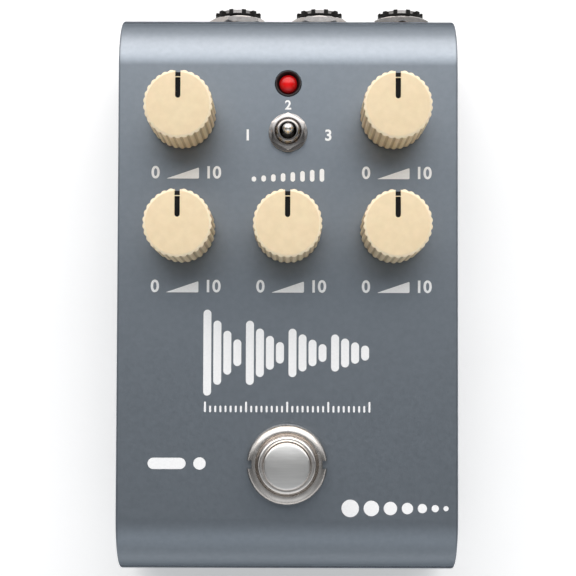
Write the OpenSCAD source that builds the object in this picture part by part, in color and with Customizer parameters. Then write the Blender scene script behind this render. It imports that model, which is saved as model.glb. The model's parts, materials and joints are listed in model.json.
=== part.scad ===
// Compact floor pedal for a tape-style echo: a bent metal enclosure with five
// knobs, a three-way toggle, a status lamp, a soft footswitch and rear sockets.
// Millimetres, +X to the player's right, +Y to the rear, +Z up.
// The origin is on the ground, under the middle of the whole footprint.

/* [Enclosure] */
// Width of the enclosure
body_w = 66.6; // [64:0.2:90]
// Depth of the enclosure from its front wall to its rear wall
body_d = 110.5; // [108:0.5:140]
// Height of the enclosure from the base's underside to the top panel
body_h = 29.5; // [29:0.5:40]
// Sheet thickness of the top shell
wall = 2; // [1.5:0.1:2.2]
// Outer radius of the shell's front and rear bends
bend_r = 11; // [8:0.5:11]
// Length of the shell's inward bottom flanges
flange_d = 8; // [7:0.5:10]
// Thickness of the base plate
base_t = 1.6; // [1.5:0.1:2]
// Thickness of the base tray's side walls
side_t = 1.5; // [1:0.1:2]

/* [Feet and base screws] */
// Diameter of a rubber foot
foot_d = 11; // [8:0.5:14]
// Height of a rubber foot
foot_h = 2; // [1.5:0.5:6]
// Taper of a rubber foot all round
foot_draft = 0.6; // [0:0.1:1]
// Distance of the feet from the enclosure's side
foot_inset_x = 8.5; // [7:0.5:14]
// Distance of the feet from the enclosure's front and rear
foot_inset_y = 19; // [18:0.5:26]
// Thread diameter of a base screw
base_screw_d = 3; // [2.5:0.5:4]
// Head diameter of a base screw
base_head_d = 5.6; // [5:0.1:7]
// Height of a base screw's countersunk head
base_head_h = 1.3; // [1:0.1:1.4]
// Width of a base screw's hex socket across its corners
base_socket_d = 2; // [1.5:0.1:2.3]
// Depth of a base screw's hex socket
base_socket_h = 1; // [0.6:0.1:2]
// Distance of the base screws from the enclosure's side
base_screw_inset = 8.5; // [7:0.5:14]

/* [Control places] */
// Distance of the outer knob columns from the enclosure's sides
knob_col = 12.7; // [11.8:0.1:14]
// Distance of the rear knob row from the rear wall
knob_inset = 21.2; // [19:0.1:23]
// Distance between the two knob rows
knob_row_pitch = 22.3; // [20:0.1:24]
// Distance of the status lamp from the rear wall
lamp_inset = 14.6; // [14.4:0.1:15.6]
// Distance of the toggle switch from the rear wall
toggle_inset = 24.3; // [22.4:0.1:26]
// Distance of the footswitch from the front wall
switch_inset = 21.5; // [20:0.1:30]
// Room between the top panel and the control board
board_drop = 6.6; // [6:0.1:7]

/* [Knobs] */
// Diameter of a knob
knob_d = 13; // [12.8:0.1:15]
// Height of a knob
knob_h = 12.4; // [11:0.1:16]
// Gap between a knob and the panel
knob_gap = 0.8; // [0.5:0.1:1.5]
// Number of flutes round a knob
knob_flutes = 30; // [24:1:40]
// Depth of a flute
flute_depth = 0.2; // [0.1:0.05:0.35]
// Radius of the flute's hollow
flute_r = 0.75; // [0.5:0.05:0.8]
// Width of the bevel on a knob's rim
knob_bevel_w = 0.4; // [0.3:0.1:1.2]
// Height of the bevel on a knob's rim
knob_bevel_h = 0.2; // [0.1:0.1:1]
// Width of the pointer
pointer_w = 1.05; // [0.8:0.05:1.6]
// Distance of the pointer's inner end from the knob's axis
pointer_start = 1.1; // [0.6:0.1:2.5]
// Depth of the pointer groove
pointer_depth = 0.6; // [0.4:0.1:0.8]
// Depth of the groove that runs down the knob's side
side_groove = 0.5; // [0.3:0.05:0.6]

/* [Potentiometers] */
// Diameter of a shaft
shaft_d = 6; // [5:0.05:6.1]
// Thickness of a shaft across its flat
shaft_flat = 4.6; // [4:0.1:4.8]
// Width of a potentiometer body
pot_w = 9.6; // [9:0.1:10.5]
// Depth of a potentiometer body
pot_d = 11; // [9:0.5:12]
// Diameter of a potentiometer's threaded bushing
pot_bush_d = 7; // [6.8:0.1:7.4]
// Length of the bushing's thread above its nut
pot_thread_over = 0.6; // [0.2:0.1:1]
// Width of a potentiometer nut across its flats
pot_nut_af = 8.5; // [8.2:0.1:9.4]
// Thickness of a potentiometer nut
pot_nut_t = 2; // [1.5:0.1:2.4]
// Diameter of a potentiometer washer
pot_washer_d = 9.4; // [8.4:0.1:10.4]
// Thickness of a potentiometer washer
pot_washer_t = 0.4; // [0.3:0.1:0.6]
// Thickness of the knob above the shaft's end
knob_cap = 2.6; // [2:0.1:4]
// Thickness of the potentiometer's floor under the shaft
pot_floor = 1; // [0.6:0.1:2]

/* [Status lamp] */
// Diameter of the lamp's bezel in the panel
bezel_d = 5; // [4.6:0.1:5.6]
// Height of the bezel's rim above the panel
bezel_up = 0.2; // [0.1:0.1:0.8]
// Thickness of the bezel's rim
bezel_rim = 0.2; // [0.1:0.05:0.35]
// Depth of the bezel's funnel round the lens
funnel_depth = 1.5; // [0.5:0.1:2]
// Diameter of the bezel's shoulder under the panel
shoulder_d = 6.4; // [6:0.1:7]
// Thickness of the bezel's shoulder
shoulder_t = 1; // [0.6:0.1:2]
// Diameter of the lens
lens_d = 3.5; // [3:0.1:3.8]
// Height of the lens above the panel
lens_up = 0.3; // [0:0.1:1.2]
// Depth of the lens below the panel's underside
lens_down = 1.2; // [0.5:0.1:3]
// Diameter of a lamp lead
lead_d = 0.6; // [0.4:0.1:0.8]
// Distance between the lamp's leads
lead_pitch = 1.8; // [1.4:0.1:2.2]

/* [Toggle switch] */
// Width of the toggle's body
toggle_w = 12.7; // [10:0.1:16]
// Depth of the toggle's body
toggle_d = 7; // [6:0.1:8]
// Diameter of the toggle's threaded bushing
toggle_bush_d = 4.6; // [4.4:0.1:5.4]
// Height of the bushing above the panel
toggle_bush_up = 2.8; // [2.4:0.1:4]
// Diameter of the bushing's bore
toggle_bore_d = 3.2; // [3.1:0.05:3.7]
// Width of the toggle's nut across its flats
toggle_nut_af = 6.4; // [6:0.1:8]
// Thickness of the toggle's nut
toggle_nut_t = 1.5; // [1:0.1:2]
// Diameter of the toggle's washer
toggle_washer_d = 7.6; // [7:0.1:9]
// Thickness of the toggle's washer
toggle_washer_t = 0.4; // [0.3:0.1:0.6]
// Height of the lever's tip above the panel
lever_up = 5.6; // [5.2:0.1:9]
// Diameter of the lever's round tip
lever_tip_d = 2; // [1.8:0.1:3]
// Diameter of the lever's neck
lever_neck_d = 1.3; // [1.1:0.1:1.5]
// Height of the lever's pivot above the panel
lever_pivot_up = 0.2; // [0:0.1:1]
// Length of the lever's tail below its pivot
lever_tail = 3.6; // [2.5:0.1:4]

/* [Footswitch] */
// Width of the footswitch's body
switch_w = 14.4; // [14:0.2:18]
// Diameter of the footswitch's threaded bushing
switch_bush_d = 10.9; // [10.4:0.1:11.2]
// Diameter of the bushing's bore
switch_bore_d = 8.7; // [8.4:0.1:9.4]
// Height of the bushing above the panel
switch_bush_up = 5.5; // [5:0.1:7]
// Height of the resting button above the panel
button_up = 10.2; // [9:0.1:13]
// Travel of the button
button_travel = 2.5; // [1.5:0.1:2.8]
// Size of the bevel on the button's rim
button_bevel = 0.5; // [0.3:0.1:0.8]
// Diameter of the collar that keeps the button in
collar_d = 11.6; // [11:0.1:12]
// Thickness of the button's collar
collar_t = 1.2; // [0.8:0.1:1.4]
// Thickness of the body's roof over the collar
switch_roof = 1; // [0.8:0.1:1.2]
// Thickness of the body's floor under the spring
switch_floor = 0.6; // [0.4:0.1:0.8]
// Thickness of the button's cap over the spring
button_cap = 5; // [3:0.5:6]
// Diameter of the dress nut at the panel
switch_nut_d = 15.6; // [14.5:0.1:18]
// Diameter of the dress nut's top face
switch_nut_top_d = 12.4; // [12.2:0.1:14]
// Thickness of the dress nut
switch_nut_t = 3.2; // [2.5:0.1:4]
// Height of the dress nut's rounded shoulder
switch_nut_round = 1.3; // [0.5:0.1:2]
// Size of the chamfer round the dress nut's bore
switch_nut_chamfer = 0.5; // [0.2:0.05:0.55]
// Width of the spanner notches in the dress nut
notch_w = 2; // [1:0.1:3]
// Depth of the spanner notches in the dress nut
notch_depth = 1.1; // [0.5:0.1:1.5]
// Diameter of the footswitch's washer
switch_washer_d = 13; // [12.4:0.1:16]
// Thickness of the footswitch's washer
switch_washer_t = 0.5; // [0.3:0.1:1]
// Outer diameter of the return spring
spring_d = 5.4; // [4:0.1:6]
// Wire diameter of the return spring
spring_wire = 0.6; // [0.4:0.1:0.8]
// Number of turns of the return spring
spring_turns = 6; // [4:1:8]

/* [Rear sockets] */
// Distance of the first jack from the enclosure's left side
jack_first_x = 22.8; // [20.5:0.1:23.8]
// Distance of the last jack from the enclosure's right side
jack_last_x = 10; // [9:0.1:11]
// Width of a jack's body
jack_w = 13; // [12.6:0.1:13.6]
// Room between the jacks and the control board
jack_room = 1.5; // [1:0.1:2]
// Depth of a jack's body behind the rear wall
jack_d = 27; // [26:0.5:28]
// Diameter of a jack's threaded bushing
jack_bush_d = 9.4; // [9:0.1:10]
// Reach of the bushing out of the rear wall
jack_reach = 3.6; // [3.4:0.1:6]
// Bore of a jack for a quarter-inch plug
jack_bore_d = 6.5; // [6.4:0.05:6.8]
// Depth of a jack's bore
jack_bore_l = 28; // [26:0.5:28.5]
// Number of notches in the bushing's crown
crown_notches = 10; // [6:1:12]
// Depth of the crown's notches
crown_depth = 1.1; // [0.5:0.1:1.4]
// Width of the crown's notches
crown_notch_w = 1.5; // [0.8:0.1:1.6]
// Thickness of the sleeve inside the crown's notches
crown_wall = 0.6; // [0.4:0.1:0.8]
// Width of a jack nut across its flats
jack_nut_af = 11; // [10.8:0.1:11.2]
// Thickness of a jack nut
jack_nut_t = 1.7; // [1.2:0.1:1.8]
// Distance of a jack nut's top edge inside its flats
jack_nut_edge = 0.4; // [0.1:0.1:0.5]
// Diameter of a jack washer
jack_washer_d = 12; // [11.4:0.1:12.4]
// Thickness of a jack washer
jack_washer_t = 0.4; // [0.3:0.1:0.5]
// Width of a jack's contact spring
contact_w = 2.6; // [2:0.1:3]
// Thickness of a jack's contact spring
contact_t = 0.4; // [0.3:0.05:0.5]
// Length of a jack's contact spring
contact_l = 12; // [8:0.5:16]
// Distance of the power inlet from the enclosure's left side
power_x = 8.6; // [7:0.1:9.6]
// Width of the power inlet
power_w = 9; // [9:0.1:9.6]
// Room between the power inlet and the control board
power_room = 2.5; // [1.5:0.1:4]
// Depth of the power inlet behind the rear wall
power_d = 14; // [13:0.5:18]
// Diameter of the inlet's nose in the rear wall
power_nose_d = 8; // [7.5:0.1:8.4]
// Bore of the power inlet
power_bore_d = 5.7; // [5.5:0.1:6]
// Depth of the inlet's bore
power_bore_l = 9.5; // [9:0.5:11]
// Diameter of the inlet's centre pin
power_pin_d = 2.1; // [2:0.1:2.5]
// Distance of the pin's end from the inlet's mouth
power_pin_in = 1; // [0.5:0.1:2]

/* [Boards] */
// Thickness of the circuit boards
board_t = 1.6; // [1:0.1:1.6]
// Gap between the boards and the enclosure
board_gap = 1.5; // [1:0.1:2]
// Gap between the jack board and the shell's flange
board_lift = 0.6; // [0.3:0.1:0.8]
// Reach of the jack board past its front standoffs
board_over = 4; // [2.6:0.1:8]
// Distance of the standoffs from the boards' side edges
standoff_x = 2.8; // [2.6:0.1:3]
// Distance of the rear standoffs from the jacks' inner ends
standoff_inset = 4; // [3.5:0.1:5]
// Distance between the standoff rows
standoff_pitch = 20; // [19:0.1:21]
// Width of a standoff across its flats
standoff_af = 4.6; // [4:0.1:5]
// Thread diameter of a board screw
board_screw_d = 2.5; // [2:0.1:3]
// Thread length of a board screw past its board
board_screw_l = 4; // [3:0.5:5]
// Head diameter of a board screw
board_head_d = 4; // [3.6:0.1:4.4]
// Height of a board screw's head
board_head_h = 1.4; // [1:0.1:1.8]
// Width of the processor
processor_w = 14; // [10:0.5:18]
// Thickness of the processor
processor_t = 1.4; // [0.8:0.1:1.8]
// Distance of the processor from the front wall
processor_inset = 42; // [40:0.5:44]
// Width of a small chip
chip_w = 6; // [4:0.5:7]
// Depth of a small chip
chip_d = 9; // [6:0.5:12]
// Thickness of a small chip
chip_t = 1.2; // [0.8:0.1:1.6]
// Distance of the small chips from the boards' side edges
chip_x = 12.3; // [8:0.1:13]
// Diameter of a capacitor
cap_d = 6.3; // [5:0.1:8]
// Height of a capacitor
cap_h = 7.5; // [5:0.5:12]
// Distance between the capacitors
cap_pitch = 11; // [9:0.5:13]
// Number of capacitors
cap_count = 4; // [1:1:4]
// Width of the board-to-board header
header_w = 24; // [16:0.5:30]
// Depth of the board-to-board header
header_d = 5; // [3:0.1:6]

/* [Clearances] */
// Room all round between a bushing and its panel hole
hole_clear = 0.15; // [0.05:0.05:0.3]
// Room all round between a moving piece and its bearing
run_clear = 0.05; // [0.03:0.01:0.1]
// Room all round between fixed pieces that fit together
fit_clear = 0.05; // [0.02:0.01:0.1]
// Gap that keeps moving pieces off the fixed ones
move_gap = 0.35; // [0.2:0.05:0.5]
// Gap between the side walls and the shell around them
side_gap = 0.1; // [0.05:0.05:0.3]

/* [Hidden] */
$fn = 64;
// Cutters reach this far past the face they open
past = 1;

// Levels
base_top = foot_h + base_t;
panel_z = foot_h + body_h;
under_z = panel_z - wall;
board_top = under_z - board_drop;
board_z = board_top - board_t;
jack_board_z = base_top + wall + board_lift;
jack_board_top = jack_board_z + board_t;
board_room = board_z - jack_board_top;
jack_h = board_room - jack_room;
jack_z = jack_board_top + jack_h / 2;
power_h = board_room - power_room;

// Footprint
front_y = -(body_d + jack_reach) / 2;
rear_y = front_y + body_d;
side_x = body_w / 2;
rear_in = rear_y - wall;
front_in = front_y + wall;

// Places of the controls
rear_row = rear_y - knob_inset;
front_row = rear_row - knob_row_pitch;
lamp_y = rear_y - lamp_inset;
toggle_y = rear_y - toggle_inset;
switch_y = front_y + switch_inset;
knob_x = side_x - knob_col;
knob_places = [
    ["rear_left", -knob_x, rear_row],
    ["rear_right", knob_x, rear_row],
    ["front_left", -knob_x, front_row],
    ["front_middle", 0, front_row],
    ["front_right", knob_x, front_row]
];
jack_sides = ["left", "middle", "right"];
jack_left = jack_first_x - side_x;
jack_pitch = (body_w - jack_first_x - jack_last_x) / (len(jack_sides) - 1);
power_left = power_x - side_x;
foot_spots = [
    for (x = [-1, 1])
        for (y = [front_y + foot_inset_y, rear_y - foot_inset_y])
            [x * (side_x - foot_inset_x), y]
];
base_screw_spots = [
    for (x = [-1, 1])
        for (y = [front_in + flange_d / 2, rear_in - flange_d / 2])
            [x * (side_x - base_screw_inset), y]
];
// Boards
bend_in = bend_r - wall;
bend_rise = max(0, board_top - (panel_z - bend_r));
bend_inset = bend_in - sqrt(bend_in * bend_in - bend_rise * bend_rise);
board_front = front_in + bend_inset + board_gap;
board_rear = rear_in - bend_inset - board_gap;
board_half_w = side_x - side_t - board_gap;
jack_end = rear_in - jack_d;
header_y = jack_end - standoff_inset;
standoff_front = header_y - standoff_pitch;
standoff_spots = [
    for (x = [-1, 1])
        for (y = [header_y, standoff_front])
            [x * (board_half_w - standoff_x), y]
];
jack_board_rear = rear_in - board_gap;
cap_y = header_y - standoff_pitch / 2;
processor_y = front_y + processor_inset;

// Knobs and potentiometers
knob_r = knob_d / 2;
knob_z = panel_z + knob_gap;
knob_top = knob_z + knob_h;
pot_bush_top = panel_z + pot_washer_t + pot_nut_t + pot_thread_over;
nut_reach = max(pot_nut_af / cos(30), pot_washer_d) / 2;
knob_recess_r = nut_reach + move_gap;
knob_recess_top = pot_bush_top + move_gap;
shaft_z = board_top + pot_floor + run_clear;
shaft_top = knob_top - knob_cap;
shaft_r = shaft_d / 2;
pointer_end = knob_r - side_groove;

// Toggle switch
toggle_top = panel_z + toggle_bush_up;
lever_z = panel_z + lever_pivot_up;
lever_ball_r = toggle_bore_d / 2 - 2 * run_clear;
lever_bottom = lever_z - lever_tail;
lever_straight = toggle_top + move_gap;
lever_tip_z = panel_z + lever_up - lever_tip_d / 2;

// Footswitch
switch_top = panel_z + switch_bush_up;
chamber_r = collar_d / 2 + run_clear;
spring_floor = board_top + switch_floor;
chamber_roof = under_z - switch_roof;
button_r = switch_bore_d / 2 - run_clear;
button_top = panel_z + button_up;
collar_top = chamber_roof - run_clear;
collar_z = collar_top - collar_t;
chamber_floor = collar_z - button_travel - 2 * run_clear;
spring_seat = button_top - button_cap;
spring_z = spring_floor + fit_clear;
spring_l = spring_seat - fit_clear - spring_z;
spring_hole_r = spring_d / 2 + move_gap;
spring_steps = 12;
spring_sides = 8;

// Rear sockets
jack_mouth = rear_y + jack_reach;
jack_bore_end = jack_mouth - jack_bore_l;
contact_z = jack_z + jack_bore_d / 2 + fit_clear;
contact_y = jack_end + (jack_d - contact_l) / 2;
power_end = rear_in - power_d;
power_bore_end = rear_y - power_bore_l;

// Outline of the enclosure from the side, drawn in by inset, standing on floor_z
module side_outline(inset, floor_z) {
    low = panel_z - bend_r - floor_z;
    high = panel_z - inset - floor_z;
    translate([front_y + inset, floor_z])
        square([body_d - 2 * inset, low]);
    translate([front_y + bend_r, floor_z])
        square([body_d - 2 * bend_r, high]);
    for (y = [front_y + bend_r, rear_y - bend_r])
        translate([y, panel_z - bend_r])
            circle(r = bend_r - inset);
}

// Side outline swept across the pedal from x to x + w
module across(x, w, inset, floor_z) {
    translate([x, 0, 0])
        rotate([90, 0, 90])
            linear_extrude(w)
                side_outline(inset, floor_z);
}

// Cylinder that points to the rear, from y to y + l
module rearward(d, y, l, sides = $fn) {
    translate([0, y, 0])
        rotate([-90, 0, 0])
            cylinder(d = d, h = l, $fn = sides);
}

// Flat ring that stands on z
module ring(d, bore, z, h, sides = $fn) {
    difference() {
        translate([0, 0, z])
            cylinder(d = d, h = h, $fn = sides);
        translate([0, 0, z - past])
            cylinder(d = bore, h = h + 2 * past);
    }
}

// Holes through the top panel
module panel_hole(x, y, d) {
    translate([x, y, under_z - past])
        cylinder(d = d + 2 * hole_clear, h = wall + 2 * past);
}

module top_shell() {
    flange_w = body_w - 2 * (side_t + side_gap);
    color([0.42, 0.46, 0.5])
        difference() {
            union() {
                difference() {
                    across(-side_x, body_w, 0, base_top);
                    across(-side_x - past, body_w + 2 * past, wall, base_top - past);
                }
                for (y = [front_y + wall / 2, rear_in - flange_d])
                    translate([-flange_w / 2, y, base_top])
                        cube([flange_w, flange_d + wall / 2, wall]);
            }
            for (p = knob_places)
                panel_hole(p[1], p[2], pot_bush_d);
            panel_hole(0, lamp_y, bezel_d);
            panel_hole(0, toggle_y, toggle_bush_d);
            panel_hole(0, switch_y, switch_bush_d);
            for (i = [0 : len(jack_sides) - 1])
                translate([jack_left + i * jack_pitch, 0, jack_z])
                    rearward(jack_bush_d + 2 * hole_clear, rear_in - past, wall + 2 * past);
            translate([power_left, 0, jack_z])
                rearward(power_nose_d + 2 * hole_clear, rear_in - past, wall + 2 * past);
            for (s = base_screw_spots)
                translate([s[0], s[1], base_top - past])
                    cylinder(d = base_screw_d + 2 * fit_clear, h = wall + 2 * past);
        }
}

module base_tray() {
    color([0.4, 0.43, 0.47])
        difference() {
            union() {
                translate([-side_x, front_y, foot_h])
                    cube([body_w, body_d, base_t]);
                for (x = [-side_x, side_x - side_t])
                    across(x, side_t, wall + side_gap, foot_h + base_t / 2);
            }
            for (s = base_screw_spots)
                translate([s[0], s[1], foot_h])
                    screw_form(fit_clear);
        }
}

// Countersunk screw with its head's face at z = 0, grown by room all round
module screw_form(room) {
    head_r = base_head_d / 2 + room;
    shank_r = base_screw_d / 2 + room;
    cylinder(r1 = head_r, r2 = shank_r, h = base_head_h);
    cylinder(r = shank_r, h = base_t + wall);
}

module rubber_feet() {
    color([0.1, 0.1, 0.1])
        for (s = foot_spots)
            translate([s[0], s[1], 0])
                cylinder(r1 = foot_d / 2 - foot_draft, r2 = foot_d / 2, h = foot_h);
}

module base_screws() {
    color([0.16, 0.16, 0.17])
        for (s = base_screw_spots)
            translate([s[0], s[1], foot_h])
                difference() {
                    screw_form(0);
                    translate([0, 0, -past])
                        cylinder(d = base_socket_d, h = past + base_socket_h, $fn = 6);
                }
}

// Fluted outline of a knob
module knob_outline() {
    difference() {
        circle(r = knob_r);
        for (i = [0 : knob_flutes - 1])
            rotate(360 * i / knob_flutes)
                translate([knob_r - flute_depth + flute_r, 0])
                    circle(r = flute_r, $fn = 24);
    }
}

// Shaft with a flat that faces the front, grown by room all round
module shaft_form(z, top, room) {
    difference() {
        translate([0, 0, z])
            cylinder(r = shaft_r + room, h = top - z);
        translate([-shaft_d, -shaft_d - shaft_flat + shaft_r - room, pot_bush_top])
            cube([2 * shaft_d, shaft_d, top - pot_bush_top + past]);
    }
}

module knob() {
    groove_w = pointer_w + 2 * fit_clear;
    color([0.93, 0.84, 0.68])
        difference() {
            intersection() {
                translate([0, 0, knob_z])
                    linear_extrude(knob_h)
                        knob_outline();
                rotate_extrude()
                    polygon([
                        [0, knob_z],
                        [knob_r, knob_z],
                        [knob_r, knob_top - knob_bevel_h],
                        [knob_r - knob_bevel_w, knob_top],
                        [0, knob_top]
                    ]);
            }
            translate([0, 0, knob_z - past])
                cylinder(r = knob_recess_r, h = knob_recess_top - knob_z + past);
            shaft_form(knob_z, shaft_top + fit_clear, fit_clear);
            translate([-groove_w / 2, pointer_start - fit_clear, knob_top - pointer_depth])
                cube([groove_w, knob_r, pointer_depth + past]);
            translate([-groove_w / 2, knob_r - side_groove, knob_z - past])
                cube([groove_w, side_groove + past, knob_h + 2 * past]);
        }
}

module pointer() {
    color([0.05, 0.05, 0.05])
        translate([-pointer_w / 2, pointer_start, knob_top - pointer_depth])
            cube([pointer_w, pointer_end - pointer_start, pointer_depth]);
}

module shaft() {
    color([0.7, 0.7, 0.72])
        shaft_form(shaft_z, shaft_top, 0);
}

module pot() {
    color([0.25, 0.32, 0.3])
        difference() {
            union() {
                translate([-pot_w / 2, -pot_d / 2, board_top])
                    cube([pot_w, pot_d, board_drop]);
                translate([0, 0, under_z - past])
                    cylinder(d = pot_bush_d, h = pot_bush_top - under_z + past);
            }
            translate([0, 0, board_top + pot_floor])
                cylinder(r = shaft_r + run_clear, h = pot_bush_top - board_top);
        }
}

module pot_washers() {
    color([0.75, 0.75, 0.76])
        for (p = knob_places)
            translate([p[1], p[2], 0])
                ring(pot_washer_d, pot_bush_d + 2 * fit_clear, panel_z, pot_washer_t);
}

module pot_nuts() {
    nut_z = panel_z + pot_washer_t;
    color([0.78, 0.78, 0.8])
        for (p = knob_places)
            translate([p[1], p[2], 0])
                ring(pot_nut_af / cos(30), pot_bush_d + 2 * fit_clear, nut_z, pot_nut_t, 6);
}

module lamp_bezel() {
    bore_r = lens_d / 2 + fit_clear;
    color([0.07, 0.07, 0.08])
        translate([0, lamp_y, 0])
            rotate_extrude()
                polygon([
                    [bore_r, under_z - shoulder_t],
                    [shoulder_d / 2, under_z - shoulder_t],
                    [shoulder_d / 2, under_z],
                    [bezel_d / 2, under_z],
                    [bezel_d / 2, panel_z + bezel_up],
                    [bezel_d / 2 - bezel_rim, panel_z + bezel_up],
                    [bore_r, panel_z + bezel_up - funnel_depth]
                ]);
}

module lamp_lens() {
    lens_r = lens_d / 2;
    dome_z = panel_z + lens_up - lens_r;
    color([0.85, 0.06, 0.06])
        translate([0, lamp_y, 0]) {
            translate([0, 0, under_z - lens_down])
                cylinder(r = lens_r, h = dome_z - under_z + lens_down);
            translate([0, 0, dome_z])
                sphere(r = lens_r);
        }
}

module lamp_leads() {
    color([0.75, 0.75, 0.75])
        for (x = [-1, 1])
            translate([x * lead_pitch / 2, lamp_y, board_top])
                cylinder(d = lead_d, h = under_z - lens_down - board_top);
}

module toggle_body() {
    color([0.74, 0.74, 0.76])
        translate([0, toggle_y, 0])
            difference() {
                union() {
                    translate([-toggle_w / 2, -toggle_d / 2, board_top])
                        cube([toggle_w, toggle_d, board_drop]);
                    translate([0, 0, under_z - past])
                        cylinder(d = toggle_bush_d, h = toggle_top - under_z + past);
                }
                translate([0, 0, lever_bottom - move_gap])
                    cylinder(d = toggle_bore_d, h = toggle_top - lever_bottom + move_gap + past);
            }
}

module toggle_washer() {
    color([0.8, 0.8, 0.82])
        translate([0, toggle_y, 0])
            ring(toggle_washer_d, toggle_bush_d + 2 * fit_clear, panel_z, toggle_washer_t);
}

module toggle_nut() {
    nut_z = panel_z + toggle_washer_t;
    color([0.78, 0.78, 0.8])
        translate([0, toggle_y, 0])
            rotate(90)
                ring(toggle_nut_af / cos(30), toggle_bush_d + 2 * fit_clear, nut_z, toggle_nut_t, 6);
}

module toggle_lever() {
    neck_r = lever_neck_d / 2;
    tip_r = lever_tip_d / 2;
    color([0.85, 0.85, 0.87])
        translate([0, toggle_y, 0]) {
            translate([0, 0, lever_bottom])
                cylinder(r = neck_r, h = lever_straight - lever_bottom);
            translate([0, 0, lever_z])
                sphere(r = lever_ball_r);
            translate([0, 0, lever_straight])
                cylinder(r1 = neck_r, r2 = tip_r, h = lever_tip_z - lever_straight);
            translate([0, 0, lever_tip_z])
                sphere(r = tip_r);
        }
}

module switch_body() {
    color([0.72, 0.72, 0.74])
        translate([0, switch_y, 0])
            difference() {
                union() {
                    translate([-switch_w / 2, -switch_w / 2, board_top])
                        cube([switch_w, switch_w, board_drop]);
                    translate([0, 0, under_z - switch_roof / 2])
                        cylinder(d = switch_bush_d, h = switch_top - under_z + switch_roof / 2);
                }
                translate([0, 0, chamber_floor])
                    cylinder(r = chamber_r, h = chamber_roof - chamber_floor);
                translate([0, 0, chamber_floor])
                    cylinder(d = switch_bore_d, h = switch_top - chamber_floor + past);
                translate([0, 0, spring_floor])
                    cylinder(r = spring_hole_r, h = chamber_roof - spring_floor);
            }
}

module switch_washer() {
    color([0.75, 0.75, 0.77])
        translate([0, switch_y, 0])
            ring(switch_washer_d, switch_bush_d + 2 * fit_clear, panel_z, switch_washer_t);
}

module switch_nut() {
    bore_r = switch_bush_d / 2 + fit_clear;
    nut_z = panel_z + switch_washer_t;
    notch_end = switch_nut_d / 2 - notch_depth;
    top_r = switch_nut_top_d / 2;
    round_w = switch_nut_d / 2 - top_r;
    round_z = nut_z + switch_nut_t - switch_nut_round;
    rounded = [
        for (a = [0 : 15 : 90])
            [top_r + round_w * cos(a), round_z + switch_nut_round * sin(a)]
    ];
    color([0.86, 0.86, 0.88])
        translate([0, switch_y, 0])
            difference() {
                rotate_extrude()
                    polygon(concat(
                        [[bore_r, nut_z], [switch_nut_d / 2, nut_z]],
                        rounded,
                        [
                            [bore_r + switch_nut_chamfer, nut_z + switch_nut_t],
                            [bore_r, nut_z + switch_nut_t - switch_nut_chamfer]
                        ]
                    ));
                for (side = [0, 180])
                    rotate(side)
                        translate([notch_end, -notch_w / 2, nut_z - past])
                            cube([notch_depth + past, notch_w, switch_nut_t + 2 * past]);
            }
}

module switch_button() {
    color([0.7, 0.7, 0.71])
        translate([0, switch_y, 0])
            difference() {
                rotate_extrude()
                    polygon([
                        [0, collar_z],
                        [collar_d / 2, collar_z],
                        [collar_d / 2, collar_top],
                        [button_r, collar_top],
                        [button_r, button_top - button_bevel],
                        [button_r - button_bevel, button_top],
                        [0, button_top]
                    ]);
                translate([0, 0, collar_z - past])
                    cylinder(r = spring_hole_r, h = spring_seat - collar_z + past);
            }
}

// A point on the spring's surface: step k along the wire, corner j round it
function spring_point(k, j) =
    let (
        turn = 360 * k / spring_steps,
        lean = 360 * j / spring_sides,
        wire_r = spring_wire / 2,
        rise = (spring_l - spring_wire) * k / (spring_steps * spring_turns),
        reach = spring_d / 2 - wire_r + wire_r * cos(lean)
    )
    [reach * cos(turn), reach * sin(turn), spring_z + wire_r + rise + wire_r * sin(lean)];

module switch_spring() {
    last = spring_steps * spring_turns;
    points = [
        for (k = [0 : last])
            for (j = [0 : spring_sides - 1])
                spring_point(k, j)
    ];
    skin = [
        for (k = [0 : last - 1])
            for (j = [0 : spring_sides - 1])
                let (
                    a = k * spring_sides + j,
                    b = k * spring_sides + (j + 1) % spring_sides,
                    c = a + spring_sides,
                    d = b + spring_sides
                )
                each [[a, b, d], [a, d, c]]
    ];
    start_cap = [for (j = [1 : spring_sides - 2]) [0, j + 1, j]];
    first = last * spring_sides;
    end_cap = [for (j = [1 : spring_sides - 2]) [first, first + j, first + j + 1]];
    echo(gap_between_turns = (spring_l - spring_wire) / spring_turns - spring_wire);
    color([0.6, 0.6, 0.62])
        translate([0, switch_y, 0])
            polyhedron(points, concat(skin, start_cap, end_cap));
}

// One jack body with its bushing through the rear wall
module jack() {
    notch_r = jack_bore_d / 2 + crown_wall;
    slot_w = contact_w + 2 * fit_clear;
    slot_l = contact_l + 2 * fit_clear;
    color([0.08, 0.08, 0.09])
        translate([0, 0, jack_z])
            difference() {
                union() {
                    translate([-jack_w / 2, jack_end, -jack_h / 2])
                        cube([jack_w, jack_d, jack_h]);
                    rearward(jack_bush_d, rear_in - past, jack_mouth - rear_in + past);
                }
                rearward(jack_bore_d, jack_bore_end, jack_bore_l + past);
                for (i = [0 : crown_notches - 1])
                    rotate([0, 360 * (i + 0.5) / crown_notches, 0])
                        translate([-crown_notch_w / 2, jack_mouth - crown_depth, notch_r])
                            cube([crown_notch_w, crown_depth + past, jack_bush_d]);
                translate([-slot_w / 2, contact_y - fit_clear, 0])
                    cube([slot_w, slot_l, jack_h]);
            }
}

module jack_washers() {
    color([0.7, 0.7, 0.72])
        for (i = [0 : len(jack_sides) - 1])
            translate([jack_left + i * jack_pitch, 0, jack_z])
                difference() {
                    rearward(jack_washer_d, rear_y, jack_washer_t);
                    rearward(jack_bush_d + 2 * fit_clear, rear_y - past, jack_washer_t + 2 * past);
                }
}

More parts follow.
